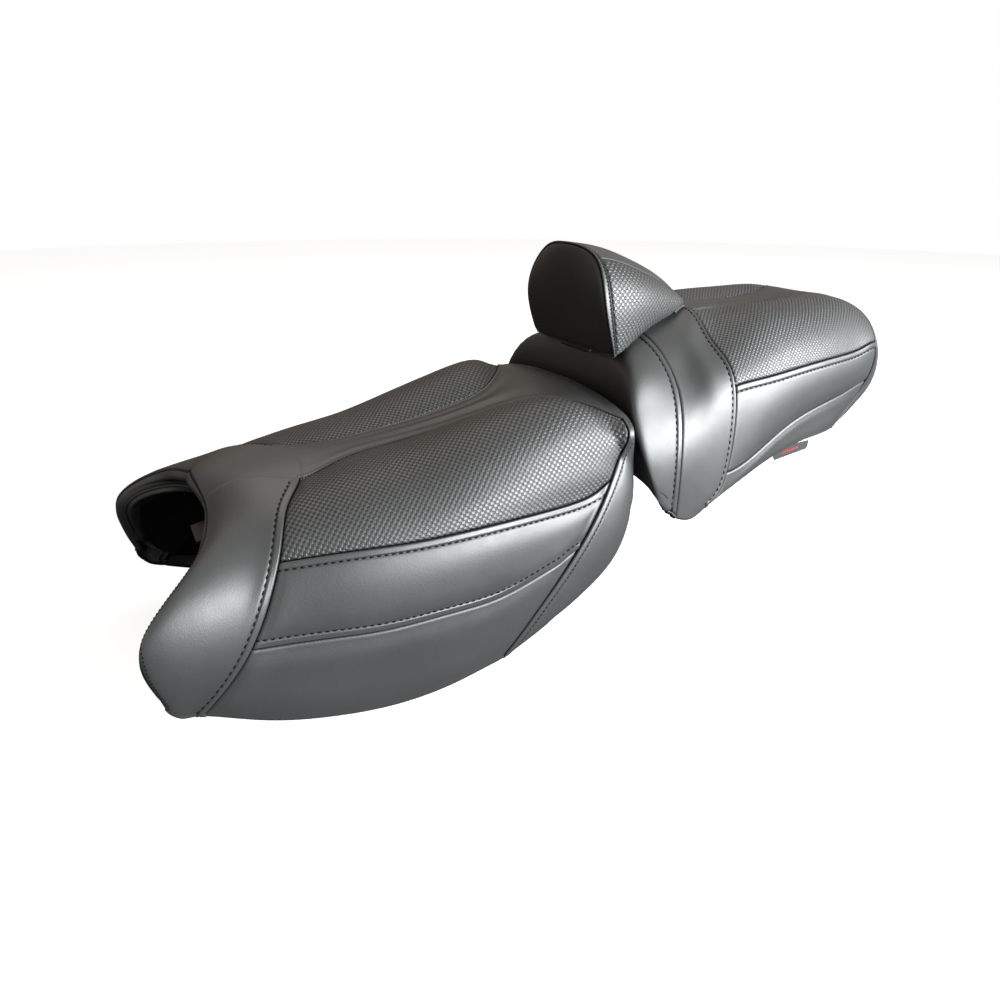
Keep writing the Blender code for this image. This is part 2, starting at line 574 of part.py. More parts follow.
def seat_point(g, x, y, lift):
    """Point above the top of a seat at x, y (mm), lift mm up, in metres."""
    u, v = np.linspace(3, 11, 161), np.linspace(-2, 2, 121)
    p = at(g, u, v).reshape(-1, 3) / MM
    k = np.argsort(np.hypot(p[:, 0] - x, p[:, 1] - y))[:4]
    return np.array((x, y, p[k, 2].mean() + lift)) * MM


def build_post():
    """Height-adjusting post, the plate over the seat's crest and the hinge pin."""
    px, pz = PIVOT
    t, y = POST[0] / 2, POST[1] / 2
    rise = (POST_FOOT, PLATE_Z - 0.3)
    blade = block("backrest_post", (POST_X - t, POST_X + t), (-y, y), rise, "zinc_steel")
    bevel(blade, 1)
    over = [(-10, 250), (1, 261.5), (18, 269.5), (42, 275), (LUG_X, 275), (LUG_X, 285), (LUG_X + 3, 285),
            (LUG_X + 3, 272), (44, 272), (20, 266), (4, 258), (-6, 247)]
    over = arc(PIVOT, KNUCKLE_R, 20, -250, 17) + over
    crest = plate("post_plate", over, -FORK, FORK, "black_steel", axis=1)
    cut(crest, block("cut_fork", (-30, -3), (-LEAF - .4, LEAF + .4), (220, 256), None, True))
    cut(crest, pin_bore("cut_plate_bore"))
    slot = (-BOLT_HALF - .6, BOLT_HALF + .6)
    cut(crest, block("cut_lug", (LUG_X - 3, LUG_X + 6), slot, (BOLT_Z[0] - .6, BOLT_Z[1] + .6), None, True))
    bevel(cylinder("hinge_pin", PIN_R, (px, 0, pz), 2 * (FORK + 2), "zinc_steel"), 0.5, 1)


def build_socket():
    """Receiver tube inside the passenger seat and the bezel round its mouth."""
    tube = block("post_socket", (POST_X - 6.5, POST_X + 6.5), (-23, 23), (150, 263), "black_steel")
    cut(tube, block("cut_tube", (POST_X - 4.5, POST_X + 4.5), (-20.6, 20.6), (100, 300), None, True))
    edge = ((44, 264.4), (66, 268.8), (66, 270.4), (44, 266))
    bezel = plate("socket_bezel", edge, -28, 28, "moulded_plastic", axis=1)
    cut(bezel, block("cut_bezel", (POST_X - 4.6, POST_X + 4.6), (-20.8, 20.8), (250, 280), None, True))


# ---------------------------------------------------------------- fixings under the seats
def pan_height(g, x, y, r):
    """Lowest point of the pan's underside within r of x, y (all mm)."""
    u, v = np.linspace(0, len(g) - 1, 261), np.linspace(-3, 3, 121)
    p = at(g, u, v).reshape(-1, 3) / MM
    near = np.hypot(p[:, 0] - x, p[:, 1] - y) < r + 1.5
    return p[near, 2].min() - PAN * 1.25 - 3


def bumpers(label, g, places):
    for k, (x, y) in enumerate(places):
        top = pan_height(g, x, y, 11)
        turned(f"{label}_bumper_{k + 1}", ((0, -17), (7.5, -17), (9, -16), (11, -4), (11, 0), (0, 0)),
               (x, y, top), "rubber", 16)


def build_fixings():
    rider = pan_net(RIDER_ROWS, RIDER_DEPTH, RIDER_ENDS, 0)
    passenger = pan_net(PASSENGER_ROWS, PASSENGER_DEPTH, PASSENGER_ENDS, 4)
    bumpers("rider", rider, ((-345, -60), (-345, 60), (-140, -70), (-140, 70)))
    bumpers("passenger", passenger, ((120, -75), (120, 75), (290, -62), (290, 62)))
    strap("rider_front_tongue", ((-508, 74), (-480, 80), (-446, 84), (-392, 84)), -22, 22, 3, "zinc_steel")
    height = pan_height(rider, -415, 0, 22)
    bevel(block("tongue_mount", (-436, -396), (-20, 20), (84.4, height), "moulded_plastic"), 1.5)
    hanger = ((-29, 135), (-29, 56), (29, 56), (29, 135), (26, 135), (26, 59), (-26, 59), (-26, 135))
    plate("rider_rear_catch", hanger, -84, -68, "zinc_steel", axis=0)
    strap("passenger_front_tongue", ((-82, 67), (62, 67), (74, 79), (74, 190), (104, 193)), -18, 18, 3,
          "zinc_steel")
    rod("lock_striker", ((326, -15, 196), (326, -15, 112), (326, -11, 106), (326, 11, 106), (326, 15, 112),
                         (326, 15, 196)), 4, "zinc_steel", 2)
    bevel(block("striker_plate", (302, 350), (-26, 26), (196.6, 201.6), "zinc_steel"), 1)
    tag = ((214, 101), (222, 87), (226, 85.5), (280, 92.5), (283, 95), (283, 105))
    plate("side_label", tag, -133.4, -132.2, "webbing", axis=1)


def hang(name, place, names, parent=None):
    """Empty on a joint, carrying the pieces that move with it."""
    empty = bpy.data.objects.new(name, None)
    PARTS.objects.link(empty)
    empty.location = [c * MM for c in place]
    bpy.context.view_layer.update()
    pieces = [bpy.data.objects[n] for n in names]
    for child, holder in [(p, empty) for p in pieces] + ([(empty, parent)] if parent else []):
        child.parent, child.matrix_parent_inverse = holder, holder.matrix_world.inverted()
    return empty


def build_joints():
    post = hang("post_height", (POST_X, 0, POST_FOOT), ("backrest_post", "post_plate"))
    pad = hang("backrest_fold", (PIVOT[0], 0, PIVOT[1]),
               ["backrest_board", "backrest_foam", "backrest_cover_front", "backrest_cover_top",
                "backrest_gusset_left", "backrest_gusset_right", "hinge_leaf", "hinge_pin", "latch_guide"]
               + [f"board_screw_{k}" for k in range(1, 5)], post)
    hang("latch_release", (LUG_X, 0, sum(BOLT_Z) / 2), ("latch_bolt", "pull_tab", "tab_rivet"), pad)


def move_to_datum():
    """Put the origin at the datum: every object without a parent moves, and carries its children."""
    for collection in (PARTS, CUTTERS):
        for obj in collection.objects:
            if obj.parent is None:
                obj.location -= Vector(DATUM) * MM


def build():
    build_rider()
    build_passenger()
    build_socket()
    build_fixings()
    build_pad()
    build_board()
    build_post()
    build_release()
    build_joints()
    move_to_datum()


for old in list(bpy.data.objects):
    bpy.data.objects.remove(old)
PARTS = bpy.data.collections.new("motorcycle_seat")
CUTTERS = bpy.data.collections.new("cutters")
for group in (PARTS, CUTTERS):
    bpy.context.scene.collection.children.link(group)
build()
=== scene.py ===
"""Looks of a two-piece touring motorcycle seat with a rider backrest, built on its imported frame.

Metres. -X is the front of the motorcycle, -Y the rider's left, +Z up. The half sections below
give each cushion's surface in millimetres: centre line first, hem last, mirrored to the other side.
Each sewn panel is a fine mesh over that surface, with rolled seams, a small swell from a cloth
simulation, and modelled thread.
"""

import math

import bmesh
import bpy
import numpy as np
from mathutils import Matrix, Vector


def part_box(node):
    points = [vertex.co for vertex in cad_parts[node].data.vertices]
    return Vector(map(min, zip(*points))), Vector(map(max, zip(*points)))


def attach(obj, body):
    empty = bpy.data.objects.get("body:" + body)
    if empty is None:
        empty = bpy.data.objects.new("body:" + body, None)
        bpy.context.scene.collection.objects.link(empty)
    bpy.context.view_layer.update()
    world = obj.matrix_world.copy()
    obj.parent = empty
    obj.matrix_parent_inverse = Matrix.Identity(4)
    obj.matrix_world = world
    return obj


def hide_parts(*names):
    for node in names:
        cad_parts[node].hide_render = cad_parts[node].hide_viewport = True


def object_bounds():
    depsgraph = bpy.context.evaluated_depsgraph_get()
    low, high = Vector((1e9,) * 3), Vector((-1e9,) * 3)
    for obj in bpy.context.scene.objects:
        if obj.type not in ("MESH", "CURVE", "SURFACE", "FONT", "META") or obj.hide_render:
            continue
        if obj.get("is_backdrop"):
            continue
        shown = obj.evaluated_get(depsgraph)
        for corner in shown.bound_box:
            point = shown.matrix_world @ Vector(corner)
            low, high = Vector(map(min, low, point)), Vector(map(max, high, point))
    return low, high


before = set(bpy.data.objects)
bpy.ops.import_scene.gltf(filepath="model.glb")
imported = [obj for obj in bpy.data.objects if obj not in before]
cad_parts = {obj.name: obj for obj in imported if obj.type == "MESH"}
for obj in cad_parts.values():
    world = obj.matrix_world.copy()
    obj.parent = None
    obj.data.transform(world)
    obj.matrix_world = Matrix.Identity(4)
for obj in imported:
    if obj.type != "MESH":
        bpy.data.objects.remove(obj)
CAD_BOX = [list(corner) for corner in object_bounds()]

# ---------------------------------------------------------------- driving dimensions, mm
MM = 0.001
DATUM = np.array((-76.0, 0.0, 56.0))    # the frame's origin, in the half sections' own coordinates
LEATHER = 1.2                   # cover thickness
HEM_RADIUS = 6.0                # roll of the cover's hem
HEM_TURN = math.radians(48)     # hem roll per unit of parameter past the edge
TURN_IN = 2.2                   # seam allowance that dives into the seam
FOLD = 8.4                      # topstitch line, away from its seam
BAND_FOLD = 5.6                 # the same at the passenger band's rear seam
REAR_FOLD = 4.5                 # the same at the passenger's rear seam
BINDING_FOLD = 3.0              # the same on the backrest's binding
RIM_LINE, RIM_THREAD = 6.6, 8.4     # groove and thread, away from the arch's edge
STEP = 6.5                      # mesh size on open leather
STITCH, STITCH_GAP = 4.9, 2.5   # thread seen, and hole to hole gap
THREAD = 0.72                   # thread radius
CELL = 3.3                      # side of one square of the embossed weave
NEAR_SEAM = np.array((0, 0.35, 0.8, 1.3, 2.0, 2.9, 3.9, 5.2, 6.6, 7.5, 8.1, 8.7, 9.4, 10.6, 12.5))
HEM_LINES = np.array((0.2, 0.45, 0.7, 1.0, 1.3, 1.6, 2.0))

RIDER_ROWS = (
    ((-506, 0, 138), (-498, 42, 123), (-505, 78, 112), (-528, 128, 96), (-577, 166, 54), (-566, 166, -10)),
    ((-493, 0, 147), (-489, 45, 138), (-493, 84, 124), (-516, 135, 107), (-575, 174, 59), (-569, 172, -14)),
    ((-445, 0, 150), (-445, 48, 148), (-457, 95, 131), (-482, 142, 100), (-535, 177, 38), (-556, 171, -28)),
    ((-390, 0, 148), (-398, 54, 141), (-425, 102, 132), (-447, 147, 98), (-486, 172, 25), (-535, 167, -36)),
    ((-345, 0, 147), (-346, 32, 146), (-354, 100, 146), (-380, 161, 101), (-420, 178, 21), (-480, 173, -57)),
    ((-290, 0, 152), (-290, 27, 153), (-294, 103, 157), (-315, 170, 101), (-355, 186, 18), (-415, 181, -70)),
    ((-230, 0, 160), (-230, 27, 161), (-230, 107, 176), (-245, 174, 103), (-285, 188, 19), (-350, 184, -77)),
    ((-170, 0, 171), (-172, 30, 172), (-165, 112, 194), (-175, 172, 104), (-225, 187, 22), (-290, 186, -73)),
    ((-120, 0, 183), (-124, 42, 184), (-112, 120, 201), (-120, 167, 105), (-170, 184, 36), (-245, 184, -66)),
    ((-75, 0, 192), (-78, 90, 193), (-76, 138, 182), (-90, 163, 111), (-144, 181, 43), (-228, 183, -63)),
    ((-45, 0, 197), (-48, 140, 183), (-53, 152, 148), (-72, 161, 119), (-122, 178, 51), (-214, 182, -60)),
    ((-22, 0, 190), (-33, 134, 176), (-37, 151, 142), (-44, 160, 112), (-90, 178, 44), (-190, 180, -51)),
    ((-16, 0, 140), (-22, 115, 128), (-26, 145, 105), (-31, 154, 78), (-68, 170, 20), (-162, 177, -40)),
    ((-18, 0, 85), (-22, 92, 78), (-28, 132, 62), (-35, 148, 44), (-66, 160, 4), (-135, 171, -30)),
)
WING, REAR = 3, 10              # rider rows of the wing seam and the rear seam
PASSENGER_ROWS = (
    ((10, 0, 100), (7, 60, 99), (1, 112, 98), (-7, 150, 96), (-10, 168, 90), (9, 172, 69)),
    ((0, 0, 150), (-3, 60, 150), (-9, 110, 146), (-19, 149, 134), (-18, 167, 112), (13, 173, 67)),
    ((-2, 0, 234), (-7, 60, 232), (-21, 112, 222), (-28, 141, 186), (-16, 165, 134), (17, 173, 64)),
    ((38, 0, 262), (38, 70, 253), (41, 112, 223), (35, 142, 190), (24, 166, 138), (22, 173, 61)),
    ((82, 0, 270), (82, 62, 268), (80, 108, 240), (74, 150, 195), (60, 169, 120), (46, 173, 54)),
    ((126, 0, 273), (122, 50, 277), (113, 100, 248), (109, 150, 205), (96, 171, 104), (72, 173, 67)),
    ((175, 0, 271), (175, 37, 275), (175, 95, 270), (162, 152, 211), (152, 163, 118), (128, 166, 88)),
    ((230, 0, 270), (230, 31, 273), (232, 94, 278), (215, 150, 216), (213, 153, 143), (186, 156, 104)),
    ((285, 0, 273), (285, 24, 275), (292, 90, 279), (280, 144, 220), (278, 143, 157), (249, 146, 114)),
    ((330, 0, 278), (331, 30, 281), (344, 84, 278), (340, 136, 224), (340, 132, 165), (303, 135, 114)),
    ((360, 0, 279), (365, 50, 280), (389, 88, 264), (382, 127, 228), (392, 120, 172), (351, 115, 109)),
    ((410, 0, 262), (414, 50, 255), (422, 82, 235), (424, 106, 200), (418, 108, 160), (374, 104, 109)),
    ((432, 0, 210), (430, 48, 205), (430, 78, 190), (428, 98, 170), (417, 103, 145), (388, 98, 113)),
    ((428, 0, 150), (426, 45, 150), (422, 72, 146), (414, 88, 138), (409, 91, 131), (400, 90, 122)),
)
FIRST, SECOND, LAST = 3, 5, 10  # passenger rows of the two cross seams and the rear seam
PAD_ROWS = (
    ((-45, 0, 360), (-39, 54, 348), (-41, 82, 300), (-22, 84, 238)),
    ((-5, 0, 354), (-5, 54, 342), (0, 80, 300), (2, 78, 248)),
    ((35, 0, 341), (32, 50, 330), (40, 72, 298), (38, 68, 264)),
    ((80, 0, 322), (75, 40, 314), (78, 58, 294), (80, 56, 275)),
    ((118, 0, 299), (112, 26, 296), (113, 40, 289), (113, 40, 281)),
    ((139, 0, 281), (136, 12, 281), (132, 20, 281), (128, 25, 281)),
)
BINDING = 0.24                  # pad parameter where the plain front strip ends
SOCKET_SLOT = ((48, -23.5, 120), (62, 23.5, 300))   # opening for the post's socket
TAB_TRAVEL = (0, 3, 6, 9)       # places along the latch's slide
TAB_HALF = 57                   # half the strap's width at its front
TAB_LIFT, TAB_LOOP, TAB_CLOTH = 2.5, 0.5, 0.5   # strap above the cover, height of its loop, its cloth
# Foam section: inboard step and drop of the underside per column, and per row its shift and scales.
RIDER_DEPTH = ((0, -42), (0, -42), (-14, -40), (-28, -28), (-27, -3), (-16, 5))
RIDER_ENDS = {0: (14, .62, .57), 1: (22, .75, .86), 2: (12, .9, .9), 10: (-12, 1, 1), 11: (-24, .9, 1),
              12: (-26, .3, 1), 13: (-22, 0, 1)}
PASSENGER_DEPTH = ((0, -66), (0, -66), (-16, -62), (-32, -38), (-28, -4), (-16, 4))
PASSENGER_ENDS = {0: (24, 0, .8), 1: (24, .15, .9), 2: (22, .6, .9), 3: (16, .95, 1), 10: (-10, .9, 1),
                  11: (-22, .6, 1), 12: (-26, .2, 1), 13: (-22, 0, 1)}


# ---------------------------------------------------------------- spline surface
def spline_weights(n, t):
    """Natural cubic spline weights of n evenly spaced knots at the parameters t."""
    a, b = np.eye(n), np.zeros((n, n))
    for i in range(1, n - 1):
        a[i, i - 1:i + 2] = 1, 4, 1
        b[i, i - 1:i + 2] = 6, -12, 6
    m = np.linalg.solve(a, b)
    i = np.clip(np.floor(t).astype(int), 0, n - 2)
    f = t - i
    w = np.zeros((len(t), n))
    r = np.arange(len(t))
    w[r, i] += 1 - f
    w[r, i + 1] += f
    w += (((1 - f) ** 3 - (1 - f)) / 6)[:, None] * m[i] + ((f ** 3 - f) / 6)[:, None] * m[i + 1]
    return w


def spline_points(knots, u, v):
    """Points of a spline surface through a grid of knots, at matching arrays of u and v."""
    shape = np.broadcast(u, v).shape
    u, v = np.broadcast_to(u, shape).ravel(), np.broadcast_to(v, shape).ravel()
    rows = spline_weights(len(knots), u) @ knots.reshape(len(knots), -1)
    rows = rows.reshape(len(u), knots.shape[1], 3)
    return np.einsum("nj,njk->nk", spline_weights(knots.shape[1], v), rows).reshape(*shape, 3)


def unit(a):
    return a / np.maximum(np.linalg.norm(a, axis=-1, keepdims=True), 1e-12)


def smooth(low, high, x):
    t = np.clip((x - low) / (high - low), 0, 1)
    return t * t * (3 - 2 * t)


class Cushion:
    """Surface of one cushion: u runs rearwards over the rows, v from hem to hem with 0 at the centre."""

    def __init__(self, rows, hem=HEM_RADIUS):
        self.hem = hem * MM
        half = (np.array(rows, float) - DATUM) * MM
        self.knots = np.concatenate([(half * (1, -1, 1))[:, :0:-1], half], 1)
        self.top, self.mid = len(rows) - 1, (self.knots.shape[1] - 1) // 2
        self.swell = None

    def point(self, u, v):
        return spline_points(self.knots, u, np.asarray(v) + self.mid)

    def frame(self, u, v):
        h = 0.02
        u, v = np.clip(u, 0, self.top), np.clip(v, -self.mid, self.mid)
        tu = unit(self.point(np.clip(u + h, 0, self.top), v) - self.point(np.clip(u - h, 0, self.top), v))
        v0, v1 = np.clip(v - h, -self.mid, self.mid), np.clip(v + h, -self.mid, self.mid)
        tv = unit(self.point(u, v1) - self.point(u, v0))
        return self.point(u, v), tu, tv, unit(np.cross(tu, tv))

    def skin(self, u, v, depth=0.0):
        """Points and outward normals; past an edge the surface rolls under it."""
        p, tu, _, n = self.frame(u, v)
        past_u = np.where(u < 0, u, np.maximum(u - self.top, 0))
        past_v = np.maximum(np.abs(v) - self.mid, 0)
        turn = (np.hypot(past_u, past_v) * HEM_TURN)[..., None]
        on = unit(tu * past_u[..., None] + np.array((0, 0, -1.0)) * past_v[..., None])
        level = unit(np.stack([-tu[..., 1], tu[..., 0], 0 * past_v], -1)) + (0, 1, 0)
        up = unit(n * np.abs(past_u)[..., None] + unit(level) * (np.sign(v) * past_v)[..., None])
        up = np.where(turn > 0, up, n)
        p = p - n * depth * MM + self.hem * (np.sin(turn) * on - (1 - np.cos(turn)) * up)
        return p, unit(up * np.cos(turn) + on * np.sin(turn))

    def swollen(self, u, v):
        """Displacement that the stuffing gives the cover."""
        if self.swell is None:
            return 0
        field, step = self.swell
        u, v = np.clip(u, 0, self.top), np.clip(v, -self.mid, self.mid)
        return spline_points(field, u / step, (v + self.mid) / step)

    def inflate(self, pinned, cap, pressure=120.0, step=0.2, frames=14):
        """Blow the cover up between its held seams with cloth, and keep how far it moved."""
        u, v = np.meshgrid(np.arange(0, self.top + step / 2, step),
                           np.arange(-self.mid, self.mid + step / 2, step), indexing="ij")
        start = self.point(u, v)
        obj = mesh_object("swell_test", start.reshape(-1, 3), grid_cells(*u.shape))
        pins = obj.vertex_groups.new(name="pins")
        pins.add([int(k) for k in np.flatnonzero(pinned(u, v).ravel())], 1.0, "REPLACE")
        cloth = obj.modifiers.new("cloth", "CLOTH")
        rules = cloth.settings
        rules.quality, rules.mass, rules.air_damping = 6, 0.3, 4.0
        rules.tension_stiffness = rules.compression_stiffness = 12.0
        rules.shear_stiffness, rules.bending_stiffness = 6.0, 1.5
        rules.use_pressure, rules.uniform_pressure_force = True, pressure
        rules.effector_weights.gravity = 0
        rules.vertex_group_mass = "pins"
        scene = bpy.context.scene
        for number in range(1, frames + 1):
            scene.frame_set(number)
        moved = obj.evaluated_get(bpy.context.evaluated_depsgraph_get()).data
        end = np.array([x.co for x in moved.vertices]).reshape(start.shape)
        bpy.data.objects.remove(obj)
        scene.frame_set(1)
        push = end - start
        far = np.maximum(np.linalg.norm(push, axis=-1, keepdims=True), 1e-9)
        limit = cap(u, v)[..., None] * MM
        self.swell = push * limit * np.tanh(far / limit) / far, step


def underside(rows, depth, ends):
    """Cushion whose surface is the foam's underside."""
    out = []
    for i, row in enumerate(rows):
        dx, kz, ky = ends.get(i, (0, 1, 1))
        out.append([(x + dx, max(0, y + dy * ky), z + dz * kz) for (x, y, z), (dy, dz) in zip(row, depth)])
    return Cushion(out)


# ---------------------------------------------------------------- meshes
def link(name, data):
    """Put data in the scene as an object."""
    obj = bpy.data.objects.new(name, data)
    bpy.context.scene.collection.objects.link(obj)
    return obj


def from_bmesh(name, bm):
    mesh = bpy.data.meshes.new(name)
    bm.to_mesh(mesh)
    bm.free()
    return link(name, mesh)


def mesh_object(name, verts, faces, check=True):
    mesh = bpy.data.meshes.new(name)
    mesh.from_pydata([tuple(map(float, v)) for v in verts], [], [tuple(map(int, f)) for f in faces])
    if check:
        mesh.validate()
    mesh.shade_smooth()
    return link(name, mesh)


def grid_cells(nu, nv, keep=None):
    i, j = np.meshgrid(np.arange(nu - 1), np.arange(nv - 1), indexing="ij")
    cells = np.stack([i * nv + j, (i + 1) * nv + j, (i + 1) * nv + j + 1, i * nv + j + 1], -1)
    return cells.reshape(-1, 4) if keep is None else cells[keep]


def tube_faces(rings, n):
    """Faces of a tube of closed rings."""
    return [(i * n + j, i * n + (j + 1) % n, (i + 1) * n + (j + 1) % n, (i + 1) * n + j)
            for i in range(rings - 1) for j in range(n)]


def drop_loose(verts, faces, *columns):
    """Leave out the points no face uses, here and in matching columns."""
    used = np.unique(faces)
    new = np.zeros(len(verts), int)
    new[used] = np.arange(len(used))
    return verts[used], new[faces], *[c[used] for c in columns]


def dress(obj, body, material, *nodes):
    """Give a piece its material and body, and hide the CAD nodes that it takes the place of."""
    obj.data.materials.clear()
    obj.data.materials.append(material)
    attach(obj, body)
    if nodes:
        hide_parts(*nodes)
    return obj


def thicken(obj, thickness=LEATHER, offset=-1.0):
    mod = obj.modifiers.new("thickness", "SOLIDIFY")
    mod.thickness, mod.offset, mod.use_quality_normals = thickness * MM, offset, True
    return obj


def placed(x, y, z):
    """A point of the half sections' coordinates (mm), in the frame."""
    return Vector((np.array((x, y, z)) - DATUM) * MM)


def add_box(name, low, high):
    """Cuboid between two corners in millimetres."""
    low, high = placed(*low), placed(*high)
    bm = bmesh.new()
    bmesh.ops.create_cube(bm, size=1)
    bmesh.ops.scale(bm, vec=high - low, verts=bm.verts)
    bmesh.ops.translate(bm, vec=(high + low) / 2, verts=bm.verts)
    return from_bmesh(name, bm)


def cut(obj, low, high):
    """Cut a box (mm corners) out of a piece."""
    cutter = add_box("cutter", low, high)
    mod = obj.modifiers.new("cut", "BOOLEAN")
    mod.operation, mod.solver, mod.object = "DIFFERENCE", "EXACT", cutter
    settle(obj)
    bpy.data.objects.remove(cutter)


def settle(obj):
    """Make a piece's modifiers part of its mesh."""
    mesh = bpy.data.meshes.new_from_object(obj.evaluated_get(bpy.context.evaluated_depsgraph_get()))
    obj.modifiers.clear()
    obj.data = mesh


# ---------------------------------------------------------------- seams and panels
def nearest(p, path):
    """Distance of points p to a polyline, in mm, and the polyline's nearest corner."""
    flat = p.reshape(-1, 3)
    gap = (flat ** 2).sum(1)[:, None] + (path ** 2).sum(1)[None] - 2 * flat @ path.T
    k = np.clip(gap.argmin(1), 1, len(path) - 2)
    best = np.full(len(flat), 1e9)
    for a, b in ((k - 1, k), (k, k + 1)):
        start, run = path[a], path[b] - path[a]
        t = np.clip(((flat - start) * run).sum(1) / np.maximum((run ** 2).sum(1), 1e-15), 0, 1)
        best = np.minimum(best, np.linalg.norm(flat - start - run * t[:, None], axis=1))
    return best.reshape(p.shape[:-1]) / MM, k.reshape(p.shape[:-1])


class Seam:
    """A seam along one grid line of a cushion. The kind says how this panel's leather meets it."""

    def __init__(self, cushion, kind, row=None, column=None, low=0.0, high=0.0, fade=None, gap=FOLD):
        t = np.linspace(low, high, 600)
        self.path = cushion.point(row, t) if column is None else cushion.point(t, column)
        self.kind, self.gap = kind, gap
        self.full = np.ones(600) if fade is None else smooth(fade[0], fade[1], np.abs(t))


def relief(p, seams):
    """Near its seams: how far the leather stands proud (mm), how much rubbing and painted sheen it gets, and
    how much painted shade.
    """
    rise, wear, shade = (np.zeros(p.shape[:-1]) for _ in range(3))
    for seam in seams:
        d, k = nearest(p, seam.path)
        full, gap = seam.full[k], seam.gap
        # line: painted shade, a dark line down the seam's groove
        line = np.exp(-(d / 1.0) ** 2)
        if seam.kind == "fold":
            rise -= 1.3 * np.clip(1 - d / 1.6, 0, 1) ** 2
            rise += 0.8 * full * smooth(0.2, 1.8, d) * (1 - smooth(gap - 2.2, gap - 0.3, d))
            rise -= 0.55 * full * np.exp(-((d - gap) / 0.9) ** 2)
            # lifted fold band: lighter from rubbing plus a painted sheen; painted shade along the topstitch
            wear = np.maximum(wear, full * smooth(0.4, 1.8, d) * (1 - smooth(gap - 2.4, gap - 0.6, d)))
            line = np.maximum(line, 0.15 * full * np.exp(-((d - gap) / 0.9) ** 2))
        elif seam.kind == "butt":
            rise -= 1.8 * np.clip(1 - d / 3.4, 0, 1) ** 2
            wear = np.maximum(wear, 0.3 * np.exp(-d / 4))
        elif seam.kind == "lip":
            rise += 0.9 * np.exp(-((d - 1.8) / 1.3) ** 2) - 1.6 * np.clip(1 - d / 1.2, 0, 1) ** 2
            wear = np.maximum(wear, np.exp(-((d - 1.9) / 1.4) ** 2))
            line = np.exp(-(d / 0.8) ** 2)
        elif seam.kind == "rim":
            # painted shade in the rim's groove; rubbing and painted sheen on the edge outside it
            line = np.exp(-((d - gap) / 0.8) ** 2)
            rise -= 1.1 * line
            wear = np.maximum(wear, 0.8 * (d < gap - 0.8))
        rise -= TURN_IN * (d < 0.15) * (seam.kind != "rim")
        shade = np.maximum(shade, line)
    return rise, wear, shade


def spaced(cushion, across, span, along_u, step, count=None):
    """Parameters of a panel's lines: close at seams, even between, and on round a hem's roll."""
    low, high, low_kind, high_kind = span
    t = np.linspace(low, high, 81)[:, None]
    limit = cushion.mid if along_u else cushion.top
    across = np.clip(np.asarray(across, float), -limit if along_u else 0, limit)[None]
    t_all, across_all = t + 0 * across, across + 0 * t
    p = cushion.point(t_all, across_all) if along_u else cushion.point(across_all, t_all)
    steps = np.linalg.norm(np.diff(p, axis=0), axis=-1)
    run = np.concatenate([np.zeros((1, p.shape[1])), steps.cumsum(0)]) / MM
    starts, ends = (np.zeros(1) if kind == "open" else NEAR_SEAM for kind in (low_kind, high_kind))
    if count is None:
        count = max(3, int((run[-1].max() - starts[-1] - ends[-1]) / step))
    out = []
    for s in run.T:
        shrink = min(1, 0.42 * s[-1] / NEAR_SEAM[-1])
        a, b = starts * shrink, s[-1] - ends[::-1] * shrink
        want = np.concatenate([a, np.linspace(a[-1], b[0], count + 2)[1:-1], b])
        out.append(np.interp(want, s, t[:, 0]))
    lines = np.array(out)
    past = np.ones((len(lines), 1)) * HEM_LINES
    if low_kind == "hem":
        lines = np.concatenate([low - past[:, ::-1], lines], 1)
    if high_kind == "hem":
        lines = np.concatenate([lines, high + past], 1)
    return lines, count


def spans_lines(cushion, across, spans, along_u, step, counts=None):
    """Lines of several spans in a row, the span each belongs to, and how many each has between seams."""
    counts = counts or [None] * len(spans)
    parts = [spaced(cushion, across, span, along_u, step, count) for span, count in zip(spans, counts)]
    owner = np.concatenate([np.full(part.shape[1], k) for k, (part, _) in enumerate(parts)])
    return np.concatenate([part for part, _ in parts], 1), owner, [count for _, count in parts]


